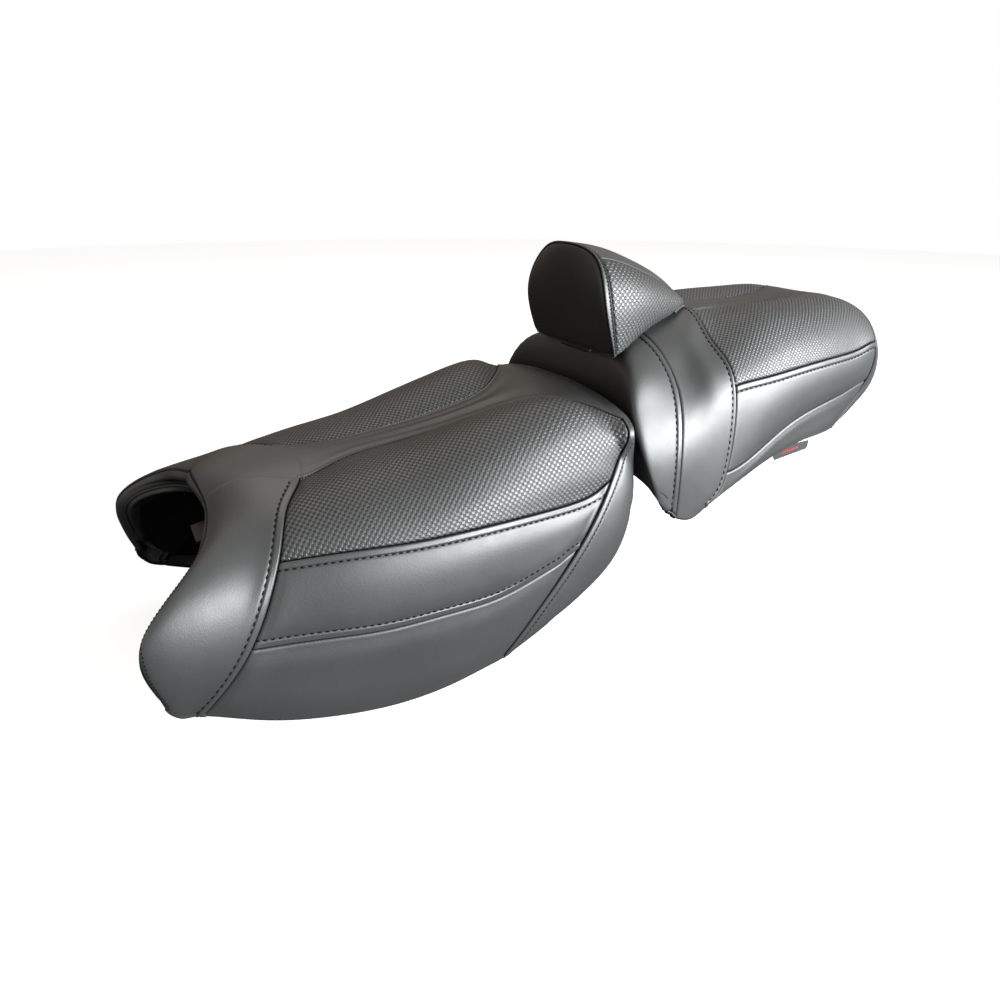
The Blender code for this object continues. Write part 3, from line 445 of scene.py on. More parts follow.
class Panel:
    """One sewn panel of a cushion's cover, over spans of u and v."""

    def __init__(self, cushion, spans_u, spans_v, seams, inside=lambda a, b: True, step=STEP):
        trial_u = np.linspace(spans_u[0][0], spans_u[-1][1], 9)
        trial_v, self.own_v, counts = spans_lines(cushion, trial_u, spans_v, False, step)
        u, self.own_u, _ = spans_lines(cushion, trial_v[4], spans_u, True, step)
        u = u.T
        v, _, _ = spans_lines(cushion, u.mean(1), spans_v, False, step, counts)
        self.cushion, self.u, self.v, self.seams = cushion, u, v, seams
        p, n = cushion.skin(u, v)
        rise, self.wear, shade = relief(p, seams)
        # painted shade on the hem's roll, where the cover turns under
        past = np.maximum(np.abs(v) - cushion.mid, 0) + np.maximum(-u, 0) + np.maximum(u - cushion.top, 0)
        self.shade = np.maximum(shade, 0.8 * smooth(0.6, 1.6, past))
        self.flat, self.n = p, n
        self.p = p + n * rise[..., None] * MM + cushion.swollen(u, v)
        kept = np.array([[inside(a, b) for b in range(len(spans_v))] for a in range(len(spans_u))])
        corners = kept[self.own_u][:, self.own_v]
        self.keep = corners[:-1, :-1] & corners[1:, :-1] & corners[:-1, 1:] & corners[1:, 1:]

    def build(self, name, body, material, *nodes):
        faces = grid_cells(*self.u.shape, self.keep)
        verts, faces, wear, shade = drop_loose(self.p.reshape(-1, 3), faces, self.wear.ravel(),
                                               self.shade.ravel())
        obj = mesh_object(name, verts, faces)
        # point attributes for the material: rubbing with painted sheen, and painted shade
        for label, values in (("wear", wear), ("shade", shade)):
            obj.data.attributes.new(label, "FLOAT", "POINT").data.foreach_set("value", values)
        if material.name.startswith("weave"):
            flat_map(obj)
        return dress(thicken(obj), body, material, *nodes)

    def stitch_line(self, seam, part_u, part_v, away, gap):
        """Points and normals at a gap (mm) from a seam, walking away from it within one part."""
        i, j = np.flatnonzero(self.own_u == part_u), np.flatnonzero(self.own_v == part_v)
        p, n, flat = self.p[np.ix_(i, j)], self.n[np.ix_(i, j)], self.flat[np.ix_(i, j)]
        if away in ("left", "right"):
            p, n, flat = p.swapaxes(0, 1), n.swapaxes(0, 1), flat.swapaxes(0, 1)
        if away in ("front", "left"):
            p, n, flat = p[::-1], n[::-1], flat[::-1]
        d, _ = nearest(flat, self.seams[seam].path)
        points, normals = [], []
        for k in range(p.shape[1]):
            hit = np.flatnonzero((d[:-1, k] < gap) & (d[1:, k] >= gap))
            if len(hit):
                a = hit[0]
                f = (gap - d[a, k]) / (d[a + 1, k] - d[a, k])
                points.append(p[a, k] * (1 - f) + p[a + 1, k] * f)
                normals.append(n[a, k] * (1 - f) + n[a + 1, k] * f)
        return np.array(points), unit(np.array(normals))


def flat_map(obj):
    """UVs in metres from an unwrap, turned so the weave's rows run lengthways."""
    bpy.ops.object.select_all(action="DESELECT")
    bpy.context.view_layer.objects.active = obj
    obj.select_set(True)
    obj.data.uv_layers.new(name="weave")
    bpy.ops.object.mode_set(mode="EDIT")
    bpy.ops.mesh.select_all(action="SELECT")
    bpy.ops.uv.unwrap(method="CONFORMAL", margin=0.0)
    bpy.ops.object.mode_set(mode="OBJECT")
    mesh = obj.data
    count = len(mesh.loops)
    uv, index = np.zeros(count * 2), np.zeros(count, int)
    mesh.uv_layers["weave"].data.foreach_get("uv", uv)
    mesh.loops.foreach_get("vertex_index", index)
    co = np.zeros(len(mesh.vertices) * 3)
    mesh.vertices.foreach_get("co", co)
    uv, co = uv.reshape(-1, 2), co.reshape(-1, 3)[index]
    a, b = np.arange(0, count, 4), np.arange(2, count, 4)
    real, mapped = (np.linalg.norm(x[a] - x[b], axis=1) for x in (co, uv))
    size = np.median(real / np.maximum(mapped, 1e-9))
    uv = (uv - uv.mean(0)) * size
    rows = np.linalg.lstsq(uv, co[:, 0] - co[:, 0].mean(), rcond=None)[0]
    angle = math.atan2(rows[1], rows[0])
    c, s = math.cos(-angle), math.sin(-angle)
    uv = uv @ np.array(((c, s), (-s, c)))
    mesh.uv_layers["weave"].data.foreach_set("uv", uv.ravel())


# ---------------------------------------------------------------- thread and cord
def resample(points, normals, spacing, start):
    """Evenly spaced places along a line: point, normal and tangent."""
    run = np.concatenate([[0], np.linalg.norm(np.diff(points, axis=0), axis=1).cumsum()]) / MM
    want = np.arange(start, run[-1] - start, spacing)
    spots = np.stack([np.interp(want, run, points[:, k]) for k in range(3)], 1)
    ups = unit(np.stack([np.interp(want, run, normals[:, k]) for k in range(3)], 1))
    ends = np.stack([np.interp(want + 1.0, run, points[:, k]) for k in range(3)], 1)
    return spots, ups, unit(ends - spots)


def thread_row(name, body, line, material, size=1.0, margin=4.0):
    """A row of stitches: short capsules of thread that dive into the leather at both ends."""
    points, normals = line
    spots, ups, tangents = resample(points, normals, (STITCH + STITCH_GAP) * size, margin)
    along = np.array((-0.5, -0.42, -0.25, 0.0, 0.25, 0.42, 0.5)) * STITCH * size
    width = np.array((0.15, 0.7, 0.95, 1.0, 0.95, 0.7, 0.15)) * THREAD * size
    lift = np.array((-0.6, -0.1, 0.3, 0.45, 0.3, -0.1, -0.6)) * size
    ring = [(math.cos(a), math.sin(a)) for a in np.arange(8) * math.tau / 8]
    verts, faces = [], []
    for p, n, t in zip(spots, ups, tangents):
        side, base = np.cross(n, t), len(verts)
        for a, w, h in zip(along, width, lift):
            centre = p + (t * a + n * h) * MM
            verts += [centre + (side * c * 1.25 + n * s) * w * MM for c, s in ring]
        for k in range(len(along) - 1):
            low = base + k * 8
            faces += [(low + m, low + (m + 1) % 8, low + 8 + (m + 1) % 8, low + 8 + m) for m in range(8)]
        faces += [tuple(base + m for m in range(7, -1, -1)), tuple(base + 48 + m for m in range(8))]
    return dress(mesh_object(name, verts, faces, False), body, material)


def cord(name, body, points, radius, material, closed=False):
    """Round cord through points, in metres."""
    curve = bpy.data.curves.new(name, "CURVE")
    curve.dimensions, curve.bevel_depth, curve.bevel_resolution = "3D", radius * MM, 3
    curve.use_fill_caps = not closed
    spline = curve.splines.new("POLY")
    spline.points.add(len(points) - 1)
    for k, p in enumerate(points):
        spline.points[k].co = (*map(float, p), 1)
    spline.use_cyclic_u = closed
    obj = link(name, curve)
    mesh = bpy.data.meshes.new_from_object(obj.evaluated_get(bpy.context.evaluated_depsgraph_get()))
    bpy.data.objects.remove(obj)
    bm = bmesh.new()
    bm.from_mesh(mesh)
    bmesh.ops.remove_doubles(bm, verts=bm.verts, dist=0.000005)
    bm.to_mesh(mesh)
    bm.free()
    mesh.shade_smooth()
    return dress(link(name, mesh), body, material)


# ---------------------------------------------------------------- materials
def node(tree, kind, sources=None, **values):
    """Add a shader node, with its settings and its inputs as numbers or links."""
    made = tree.nodes.new("ShaderNode" + kind)
    for key, value in values.items():
        setattr(made, key, value)
    for slot, source in (sources or {}).items():
        if isinstance(source, bpy.types.NodeSocket):
            tree.links.new(source, made.inputs[slot])
        else:
            made.inputs[slot].default_value = source
    return made


def maths(tree, operation, a, b=0.0, clamp=False):
    return node(tree, "Math", {0: a, 1: b}, operation=operation, use_clamp=clamp).outputs[0]


def tint(tree, factor, dark, light):
    mix = node(tree, "MixRGB", {"Fac": factor, "Color1": (*dark, 1), "Color2": (*light, 1)})
    return mix.outputs[0]


def noise(tree, place, scale, detail=2.0, roughness=0.5):
    return node(tree, "TexNoise", {"Vector": place, "Scale": scale, "Detail": detail,
                                   "Roughness": roughness}).outputs["Fac"]


def start_material(name):
    mat = bpy.data.materials.new(name)
    mat.use_nodes = True
    tree = mat.node_tree
    return mat, tree, tree.nodes["Principled BSDF"], node(tree, "TexCoord")


def set_bump(tree, bsdf, height, deep, strength=1.0, under=None):
    """Bump of a depth in mm."""
    inputs = {"Height": height, "Distance": deep * MM, "Strength": strength}
    if under is not None:
        inputs["Normal"] = under
    out = node(tree, "Bump", inputs).outputs[0]
    tree.links.new(out, bsdf.inputs["Normal"])
    return out


def leather_skin(tree, bsdf, place, colour, rough):
    """Vinyl hide: fine pebble grain, soft blotches, rubbing with a painted sheen on lifted folds and edges,
    and painted shade darkening seam grooves, stitch lines and the hem's roll.
    """
    worn_and_sheen, shade = (node(tree, "Attribute", attribute_name=k).outputs["Fac"] for k in ("wear", "shade"))
    warp = node(tree, "TexNoise", {"Vector": place, "Scale": 300.0, "Detail": 2.0}).outputs["Color"]
    bent = node(tree, "VectorMath", {0: warp, 1: (0.0016,) * 3}, operation="MULTIPLY").outputs[0]
    spot = node(tree, "VectorMath", {0: place, 1: bent}, operation="ADD").outputs[0]
    pebble = node(tree, "TexVoronoi", {"Vector": spot, "Scale": 760.0}, feature="F1").outputs["Distance"]
    crease = noise(tree, place, 240.0, 5.0, 0.6)
    height = maths(tree, "ADD", maths(tree, "MULTIPLY", pebble, 0.7), maths(tree, "MULTIPLY", crease, 0.8))
    blotch = noise(tree, place, 14.0, 3.0)
    plain = tint(tree, blotch, [c * 0.84 for c in colour], [c * 1.16 for c in colour])
    # lifted folds and edges: lighter from rubbing plus a painted sheen
    polish_and_sheen = tint(tree, maths(tree, "MULTIPLY", worn_and_sheen, 0.55), (0, 0, 0), [c * 1.9 + 0.01 for c in colour])
    rubbed_and_sheen = node(tree, "MixRGB", {"Fac": maths(tree, "MULTIPLY", worn_and_sheen, 0.5), "Color1": plain,
                                   "Color2": polish_and_sheen}).outputs[0]
    # painted shade: near black along seams, stitch lines and the hem's roll
    with_painted_shade = node(tree, "MixRGB", {"Fac": maths(tree, "MULTIPLY", shade, 0.94), "Color1": rubbed_and_sheen,
                                  "Color2": (0.0015, 0.0015, 0.0015, 1)}).outputs[0]
    tree.links.new(with_painted_shade, bsdf.inputs["Base Color"])
    varied = maths(tree, "ADD", maths(tree, "MULTIPLY", noise(tree, place, 60.0, 3.0), 0.12), rough - 0.06)
    dull = maths(tree, "ADD", maths(tree, "MULTIPLY", shade, 0.5), varied)
    tree.links.new(maths(tree, "SUBTRACT", dull, maths(tree, "MULTIPLY", worn_and_sheen, 0.06)),
                   bsdf.inputs["Roughness"])
    # less specular in the painted shade
    tree.links.new(maths(tree, "SUBTRACT", 0.6, maths(tree, "MULTIPLY", shade, 0.5)),
                   bsdf.inputs["Specular IOR Level"])
    return height, with_painted_shade


def leather(name, colour, rough):
    mat, tree, bsdf, coords = start_material(name)
    height, _ = leather_skin(tree, bsdf, coords.outputs["Object"], colour, rough)
    set_bump(tree, bsdf, height, 0.11, 0.75)
    return mat


def weave(name, colour, rough, cell=CELL):
    """Embossed weave: squares that stand proud in turn, each slightly domed, with a painted highlight on the
    proud squares and painted shade on the others.
    """
    mat, tree, bsdf, coords = start_material(name)
    place = coords.outputs["Object"]
    turns = node(tree, "VectorMath", {0: coords.outputs["UV"], "Scale": math.pi / (cell * MM)},
                 operation="SCALE").outputs[0]
    split = node(tree, "SeparateXYZ", {0: turns})
    across = maths(tree, "SINE", split.outputs[0])
    along = maths(tree, "SINE", split.outputs[1])
    checks = maths(tree, "MULTIPLY", across, along)
    proud = maths(tree, "ADD", maths(tree, "MULTIPLY", checks, 1.5), 0.5, clamp=True)
    grain, with_painted_shade = leather_skin(tree, bsdf, place, colour, rough)
    # painted highlight and shade: proud squares lighter, the others darker, over the bump
    painted_relief_light = tint(tree, proud, (0.30,) * 3, (1.9,) * 3)
    tree.links.new(node(tree, "MixRGB", {"Fac": 1.0, "Color1": with_painted_shade, "Color2": painted_relief_light},
                        blend_type="MULTIPLY").outputs[0], bsdf.inputs["Base Color"])
    tree.links.new(maths(tree, "ADD", maths(tree, "MULTIPLY", proud, -0.22), rough + 0.14),
                   bsdf.inputs["Roughness"])
    fine = node(tree, "Bump", {"Height": grain, "Distance": 0.06 * MM, "Strength": 0.6}).outputs[0]
    set_bump(tree, bsdf, proud, 0.40, 1.0, fine)
    return mat


def cloth_material(name, colour, threads=0.9, rough=0.9):
    """Plain woven cloth, threads in mm."""
    mat, tree, bsdf, coords = start_material(name)
    turns = node(tree, "VectorMath", {0: coords.outputs["Object"], "Scale": math.pi / (threads * MM)},
                 operation="SCALE").outputs[0]
    split = node(tree, "SeparateXYZ", {0: turns})
    waves = [maths(tree, "ABSOLUTE", maths(tree, "SINE", split.outputs[k])) for k in range(3)]
    height = maths(tree, "MULTIPLY", maths(tree, "MULTIPLY", waves[0], waves[1]), waves[2])
    fuzz = noise(tree, coords.outputs["Object"], 900.0, 3.0)
    tree.links.new(tint(tree, fuzz, [c * 0.7 for c in colour], [c * 1.4 for c in colour]),
                   bsdf.inputs["Base Color"])
    set_bump(tree, bsdf, maths(tree, "ADD", height, fuzz), 0.25, 0.7)
    bsdf.inputs["Roughness"].default_value = rough
    bsdf.inputs["Sheen Weight"].default_value = 0.2
    return mat


def thread_material(name, colour, shine):
    """Twisted polyester thread."""
    mat, tree, bsdf, coords = start_material(name)
    place = coords.outputs["Object"]
    twist = node(tree, "TexWave", {"Vector": place, "Scale": 900.0, "Distortion": 1.0},
                 bands_direction="DIAGONAL").outputs["Fac"]
    tree.links.new(tint(tree, twist, [c * 0.6 for c in colour], [c * 1.3 for c in colour]),
                   bsdf.inputs["Base Color"])
    set_bump(tree, bsdf, twist, 0.08, 0.8)
    bsdf.inputs["Roughness"].default_value = 0.6
    bsdf.inputs["Specular IOR Level"].default_value = shine
    return mat


def plastic(name, colour, rough, grain=320.0, deep=0.10, shine=0.5):
    """Spark-textured plastic, rubber or powder coat."""
    mat, tree, bsdf, coords = start_material(name)
    place = coords.outputs["Object"]
    spark = noise(tree, place, grain * 3, 4.0, 0.7)
    dust = noise(tree, place, 25.0, 4.0, 0.6)
    tree.links.new(tint(tree, dust, [c * 0.8 for c in colour], [c * 1.35 for c in colour]),
                   bsdf.inputs["Base Color"])
    varied = maths(tree, "ADD", maths(tree, "MULTIPLY", dust, 0.16), rough - 0.08)
    tree.links.new(varied, bsdf.inputs["Roughness"])
    set_bump(tree, bsdf, spark, deep, 0.6)
    bsdf.inputs["Specular IOR Level"].default_value = shine
    return mat


def zinc(name):
    """Zinc-plated steel with faint crystals and drawing marks."""
    mat, tree, bsdf, coords = start_material(name)
    place = coords.outputs["Object"]
    crystal = node(tree, "TexVoronoi", {"Vector": place, "Scale": 240.0}).outputs["Color"]
    grey = node(tree, "RGBToBW", {0: crystal}).outputs[0]
    long_place = node(tree, "VectorMath", {0: place, 1: (900.0, 900.0, 40.0)},
                      operation="MULTIPLY").outputs[0]
    drawn = noise(tree, long_place, 1.0, 3.0)
    tree.links.new(tint(tree, grey, (0.42, 0.43, 0.44), (0.60, 0.61, 0.62)), bsdf.inputs["Base Color"])
    tree.links.new(maths(tree, "ADD", maths(tree, "MULTIPLY", drawn, 0.2), 0.25), bsdf.inputs["Roughness"])
    set_bump(tree, bsdf, drawn, 0.03, 0.5)
    bsdf.inputs["Metallic"].default_value = 1.0
    return mat


class Looks:
    """Every material of the object, made once."""

    def __init__(self):
        self.hide = leather("hide", (0.034, 0.034, 0.034), 0.44)
        # backrest face: a darker copy of the hide, painted shade for a face that turns forward and down
        self.face = leather("hide_dark", (0.021, 0.020, 0.0195), 0.46)
        # arch trim: a darker copy of the hide, painted shade for the recess inside the arch
        self.trim = leather("hide_trim", (0.011, 0.012, 0.012), 0.55)
        self.weave = weave("weave_wide", (0.024, 0.024, 0.024), 0.45)
        self.weave_fine = weave("weave_fine", (0.030, 0.030, 0.031), 0.42, 2.9)
        self.thread = thread_material("thread", (0.0015, 0.0015, 0.0015), 0.15)
        self.pale_thread = thread_material("thread_pale", (0.16, 0.155, 0.14), 0.5)
        self.red_thread = thread_material("thread_red", (0.62, 0.02, 0.025), 0.5)
        self.lining = cloth_material("lining", (0.008, 0.008, 0.009))
        self.webbing = cloth_material("webbing", (0.014, 0.014, 0.015), 1.2)
        # pan: near black, far darker than the other plastic, painted shade for the recess under the arch
        # that also hides its facets
        self.pan = plastic("pan_plastic_painted_shade", (0.005, 0.0055, 0.0055), 0.92, shine=0.05)
        self.plastic = plastic("moulded_plastic", (0.018, 0.018, 0.019), 0.55)
        self.coat = plastic("powder_coat", (0.020, 0.020, 0.021), 0.38, 200.0, 0.05)
        self.rubber = plastic("rubber", (0.014, 0.014, 0.014), 0.78, 500.0, 0.06)
        self.zinc = zinc("zinc_plate")


# ---------------------------------------------------------------- rider and passenger covers
SIDES = (("left", -1), ("right", 1))


def ordered(side, near, far, near_kind, far_kind):
    """A v span from near to far of the centre, on one side."""
    if side > 0:
        return near, far, near_kind, far_kind
    return -far, -near, far_kind, near_kind


def lengthways(cushion, column, first, last, kind, gap=FOLD):
    return Seam(cushion, kind, column=column, low=first, high=last, gap=gap)


def crossways(cushion, row, low, high, kind, fade=None, gap=FOLD):
    return Seam(cushion, kind, row=row, low=low, high=high, fade=fade, gap=gap)


def side_panels(cushion, who, first, last, looks, weave_look, skirt_kind):
    """Bolster, side and skirt of both sides, with their thread."""
    rows = (first, last, "seam", "seam")
    for label, s in SIDES:
        ends = [crossways(cushion, row, s * 5, s, "butt") for row in (first, last)]
        top = lengthways(cushion, s, first, last, "butt")
        bolster = Panel(cushion, [rows], [ordered(s, 1, 3, "seam", "seam")],
                        ends + [top, lengthways(cushion, 3 * s, first, last, "butt")])
        bolster.build(f"{who}_bolster_{label}", "seats", weave_look, f"{who}_cover_bolster_{label}")
        fine = bolster.stitch_line(2, 0, 0, "right" if s > 0 else "left", 1.3)
        thread_row(f"{who}_strip_thread_{label}", "seats", fine, looks.pale_thread, 0.5)
        flank = Panel(cushion, [rows], [ordered(s, 3, 4, "seam", "seam")],
                      ends + [lengthways(cushion, 3 * s, first, last, "fold"),
                              lengthways(cushion, 4 * s, first, last, skirt_kind)])
        flank.build(f"{who}_side_{label}", "seats", looks.hide, f"{who}_cover_side_{label}")
        upper = flank.stitch_line(2, 0, 0, "right" if s > 0 else "left", FOLD)
        thread_row(f"{who}_upper_thread_{label}", "seats", upper, looks.thread)
        if skirt_kind == "fold":
            lower = flank.stitch_line(3, 0, 0, "left" if s > 0 else "right", FOLD)
            thread_row(f"{who}_lower_thread_{label}", "seats", lower, looks.thread)
        skirt = Panel(cushion, [rows], [ordered(s, 4, 5, "seam", "hem")],
                      ends + [lengthways(cushion, 4 * s, first, last, "butt")])
        skirt.build(f"{who}_skirt_{label}", "seats", looks.hide, f"{who}_cover_skirt_{label}")


def build_rider(looks):
    cushion = Cushion(RIDER_ROWS)
    cushion.inflate(held_seams((), (WING, REAR), WING, REAR),
                    lambda u, v: 3.2 - 2.4 * smooth(9.5, 10.5, u) - 1.2 * smooth(3, 2, u))
    spans_u = [(0, WING, "hem", "seam"), (WING, REAR, "open", "open"), (REAR, cushion.top, "seam", "hem")]
    spans_v = [(-5, -1, "hem", "open"), (-1, 1, "seam", "seam"), (1, 5, "open", "hem")]
    seams = [crossways(cushion, row, s * 5, s, "fold", (1.02, 1.5)) for s in (-1, 1) for row in (WING, REAR)]
    seams += [lengthways(cushion, s, WING, REAR, "lip") for s in (-1, 1)]
    seams.append(crossways(cushion, 0, -5, 5, "rim", gap=RIM_LINE))
    saddle = Panel(cushion, spans_u, spans_v, seams, lambda a, b: a != 1 or b == 1)
    saddle.build("rider_saddle", "seats", looks.hide, "rider_cover_saddle")
    for k, (label, s) in enumerate(SIDES):
        part = 0 if s < 0 else 2
        front = saddle.stitch_line(2 * k, 0, part, "front", FOLD)
        thread_row(f"rider_wing_thread_{label}", "seats", front, looks.thread)
        rear = saddle.stitch_line(2 * k + 1, 2, part, "rear", FOLD)
        thread_row(f"rider_rear_thread_{label}", "seats", rear, looks.thread, 0.7)
    side_panels(cushion, "rider", WING, REAR, looks, looks.weave, "fold")
    rim = [saddle.stitch_line(6, 0, part, "rear", RIM_THREAD) for part in (0, 1, 2)]
    whole = [np.concatenate([line[k] for line in rim]) for k in (0, 1)]
    thread_row("rider_rim_thread", "seats", whole, looks.thread, 0.55)
    lining(cushion, underside(RIDER_ROWS, RIDER_DEPTH, RIDER_ENDS), "rider_lining", "rider_foam", looks)
    arch_trim(cushion, looks)


def held_seams(whole_rows, half_rows, first, last):
    """Test for a seat's held points: seams across, seams lengthways between two rows, and hems."""
    def held(u, v):
        side = np.abs(v)
        seam = np.isclose(side, np.round(side), atol=0.01) & ~np.isclose(side, 2, atol=0.01) & (side > 0.5)
        hem = np.isclose(u, 0) | np.isclose(u, 13) | np.isclose(side, 5)
        out = hem | (seam & (u > first) & (u < last))
        for row in whole_rows:
            out = out | np.isclose(u, row)
        for row in half_rows:
            out = out | (np.isclose(u, row) & (side > 0.95))
        return out
    return held


def lining(cushion, under, name, node_name, looks, depth=4.2):
    """Scrim-covered foam inside the cover, down to its underside."""
    u = np.concatenate([[0.2], np.arange(0.5, cushion.top - 0.3, 0.25), [cushion.top - 0.2]])
    v = np.concatenate([[-4.8], np.arange(-4.5, 4.6, 0.25), [4.8]])
    uu, vv = np.meshgrid(u, v, indexing="ij")
    outer, _ = cushion.skin(uu, vv, depth)
    inner = under.point(uu, vv)
    nu, nv = uu.shape
    cells, n = grid_cells(nu, nv), nu * nv
    edge = ([j for j in range(nv)] + [i * nv + nv - 1 for i in range(1, nu)]
            + [(nu - 1) * nv + j for j in range(nv - 2, -1, -1)] + [i * nv for i in range(nu - 2, 0, -1)])
    faces = [tuple(c) for c in cells] + [tuple(c + n)[::-1] for c in cells]
    faces += [(a, b, b + n, a + n) for a, b in zip(edge, edge[1:] + edge[:1])]
    obj = mesh_object(name, np.concatenate([outer.reshape(-1, 3), inner.reshape(-1, 3)]), faces, False)
    obj.data.set_sharp_from_angle(angle=math.radians(50))
    if node_name == "passenger_foam":
        cut(obj, *SOCKET_SLOT)
    return dress(obj, "seats", looks.lining, node_name)


def arch_trim(cushion, looks):
    """Padded trim inside the front arch, with a beaded lower edge."""
    under = underside(RIDER_ROWS, RIDER_DEPTH, RIDER_ENDS)
    v = np.linspace(-4.9, 4.9, 161)
    outer, _ = cushion.skin(np.full(161, 0.2), v, 4.2)
    inner = under.point(np.full(161, 0.2), v)
    across = unit(inner - outer)
    face = unit(np.cross(unit(np.gradient(outer, axis=0)), across))
    shares = np.linspace(0.12, 0.96, 19)
    swell = 1.6 + 1.8 * np.sin(np.clip(shares / 0.62, 0, 1) * math.pi) - 1.0 * smooth(0.62, 0.7, shares)
    rows = [outer + (inner - outer) * s + face * w * MM for s, w in zip(shares, swell)]
    grid = np.stack(rows, 1)
    obj = mesh_object("arch_trim", grid.reshape(-1, 3), grid_cells(161, 19))
    dress(thicken(obj), "seats", looks.trim, "rider_cover_fascia")
    bead = outer + (inner - outer) * 0.62 + face * 1.9 * MM
    cord("arch_bead", "seats", bead[4:-4], 1.1, looks.hide)


def build_passenger(looks):
    cushion = Cushion(PASSENGER_ROWS, hem=3.5)
    cushion.inflate(held_seams((FIRST, SECOND), (LAST,), SECOND, LAST),
                    lambda u, v: 0.2 + 2.8 * smooth(5.0, 6.5, u) - 1.0 * smooth(10.5, 12, u))
    full, hems = [(-5, 5, "hem", "hem")], (-5, 5)
    front_seams = [crossways(cushion, FIRST, *hems, "fold")]
    front_seams += [lengthways(cushion, side, 0, FIRST, "rim", 2.0) for side in hems]
    front = Panel(cushion, [(0, FIRST, "hem", "seam")], full, front_seams)
    front.build("passenger_front", "seats", looks.hide, "passenger_cover_front")
    thread_row("passenger_first_thread", "seats", front.stitch_line(0, 0, 0, "front", FOLD), looks.thread)
    band_seams = [crossways(cushion, FIRST, *hems, "butt"),
                  crossways(cushion, SECOND, *hems, "fold", gap=BAND_FOLD)]
    band = Panel(cushion, [(FIRST, SECOND, "seam", "seam")], full, band_seams)
    cut(band.build("passenger_band", "seats", looks.hide, "passenger_cover_band"), *SOCKET_SLOT)
    line = band.stitch_line(1, 0, 0, "front", BAND_FOLD)
    thread_row("passenger_second_thread", "seats", line, looks.thread)
    spans_u = [(SECOND, LAST, "seam", "open"), (LAST, cushion.top, "seam", "hem")]
    spans_v = [(-5, -1, "hem", "open"), (-1, 1, "seam", "seam"), (1, 5, "open", "hem")]
    seams = [crossways(cushion, LAST, s * 5, s, "fold", (1.02, 1.5), gap=REAR_FOLD) for s in (-1, 1)]
    seams += [lengthways(cushion, s, SECOND, LAST, "lip") for s in (-1, 1)]
    seams.append(crossways(cushion, SECOND, -1, 1, "butt"))
    centre = Panel(cushion, spans_u, spans_v, seams, lambda a, b: a != 0 or b == 1)
    centre.build("passenger_centre", "seats", looks.hide, "passenger_cover_centre")
    for k, (label, s) in enumerate(SIDES):
        line = centre.stitch_line(k, 1, 0 if s < 0 else 2, "rear", REAR_FOLD)
        thread_row(f"passenger_rear_thread_{label}", "seats", line, looks.thread, 0.6)
    side_panels(cushion, "passenger", SECOND, LAST, looks, looks.weave_fine, "butt")
    under = underside(PASSENGER_ROWS, PASSENGER_DEPTH, PASSENGER_ENDS)
    lining(cushion, under, "passenger_lining", "passenger_foam", looks)
    return cushion


# ---------------------------------------------------------------- backrest
def closed_loop(cushion, u, depth, samples=97, base=25):
    """Section of the pad: over the arch, then back along its straight bottom."""
    v = np.linspace(-3, 3, samples)
    arch, _ = cushion.skin(np.full(samples, float(u)), v, depth)
    t = np.linspace(0, 1, base)[1:-1, None]
    return np.concatenate([arch, arch[-1] * (1 - t) + arch[0] * t])


def soften(loop, passes):
    for _ in range(passes):
        loop = (np.roll(loop, 1, 0) + loop * 2 + np.roll(loop, -1, 0)) / 4
    return loop


def blown(points, faces, rim, high):
    """Membrane over a flat triangle mesh, through the heights of its first points and blown up by high."""
    n = len(points)
    stiff, load = np.zeros((n, n)), np.zeros(n)
    for k in range(3):
        a, b, c = faces[:, k], faces[:, (k + 1) % 3], faces[:, (k + 2) % 3]
        u, v = points[a] - points[c], points[b] - points[c]
        area = np.abs(u[:, 0] * v[:, 1] - u[:, 1] * v[:, 0])
        w = (u * v).sum(1) / np.maximum(area, 1e-12) / 2
        np.add.at(stiff, (a, b), -w)
        np.add.at(stiff, (b, a), -w)
        np.add.at(stiff, (a, a), w)
        np.add.at(stiff, (b, b), w)
        np.add.at(load, a, area / 6)
    m = len(rim)
    load = np.stack([load[m:], -stiff[m:, :m] @ rim], 1)
    dome, sheet = np.linalg.solve(stiff[m:, m:], load).T
    return np.concatenate([rim, sheet - np.sqrt(np.maximum(dome, 0) / dome.max()) * high])


def build_face(pad, looks):
    """Domed front of the pad, tucked in all round, with a cord in the seam."""
    loop = soften(closed_loop(pad, 0, 1.2), 6)
    centre = loop.mean(0)
    shares = np.concatenate([[1.0, 0.99, 0.975, 0.955, 0.93, 0.90], np.linspace(0.85, 0.07, 16)])
    n, rings = len(loop), len(shares)
    verts = np.concatenate([centre + (loop - centre) * s for s in shares] + [[centre]])
    faces = tube_faces(rings, n)
    hub = [((rings - 1) * n + j, (rings - 1) * n + (j + 1) % n, rings * n) for j in range(n)]
    halves = [(f[0], f[1], f[2]) for f in faces] + [(f[0], f[2], f[3]) for f in faces] + hub
    verts[:, 0] = blown(verts[:, 1:] / MM, np.array(halves), loop[:, 0] / MM + 1.2, 9.5) * MM
    face = mesh_object("pad_face", verts, faces + hub, False)
    dress(thicken(face), "backrest_pad", looks.face, "backrest_cover_front")
    welt = soften(closed_loop(pad, 0.03, -0.5), 4) + np.array((0.4, 0, 0)) * MM
    cord("pad_welt", "backrest_pad", welt, 1.25, looks.hide, closed=True)


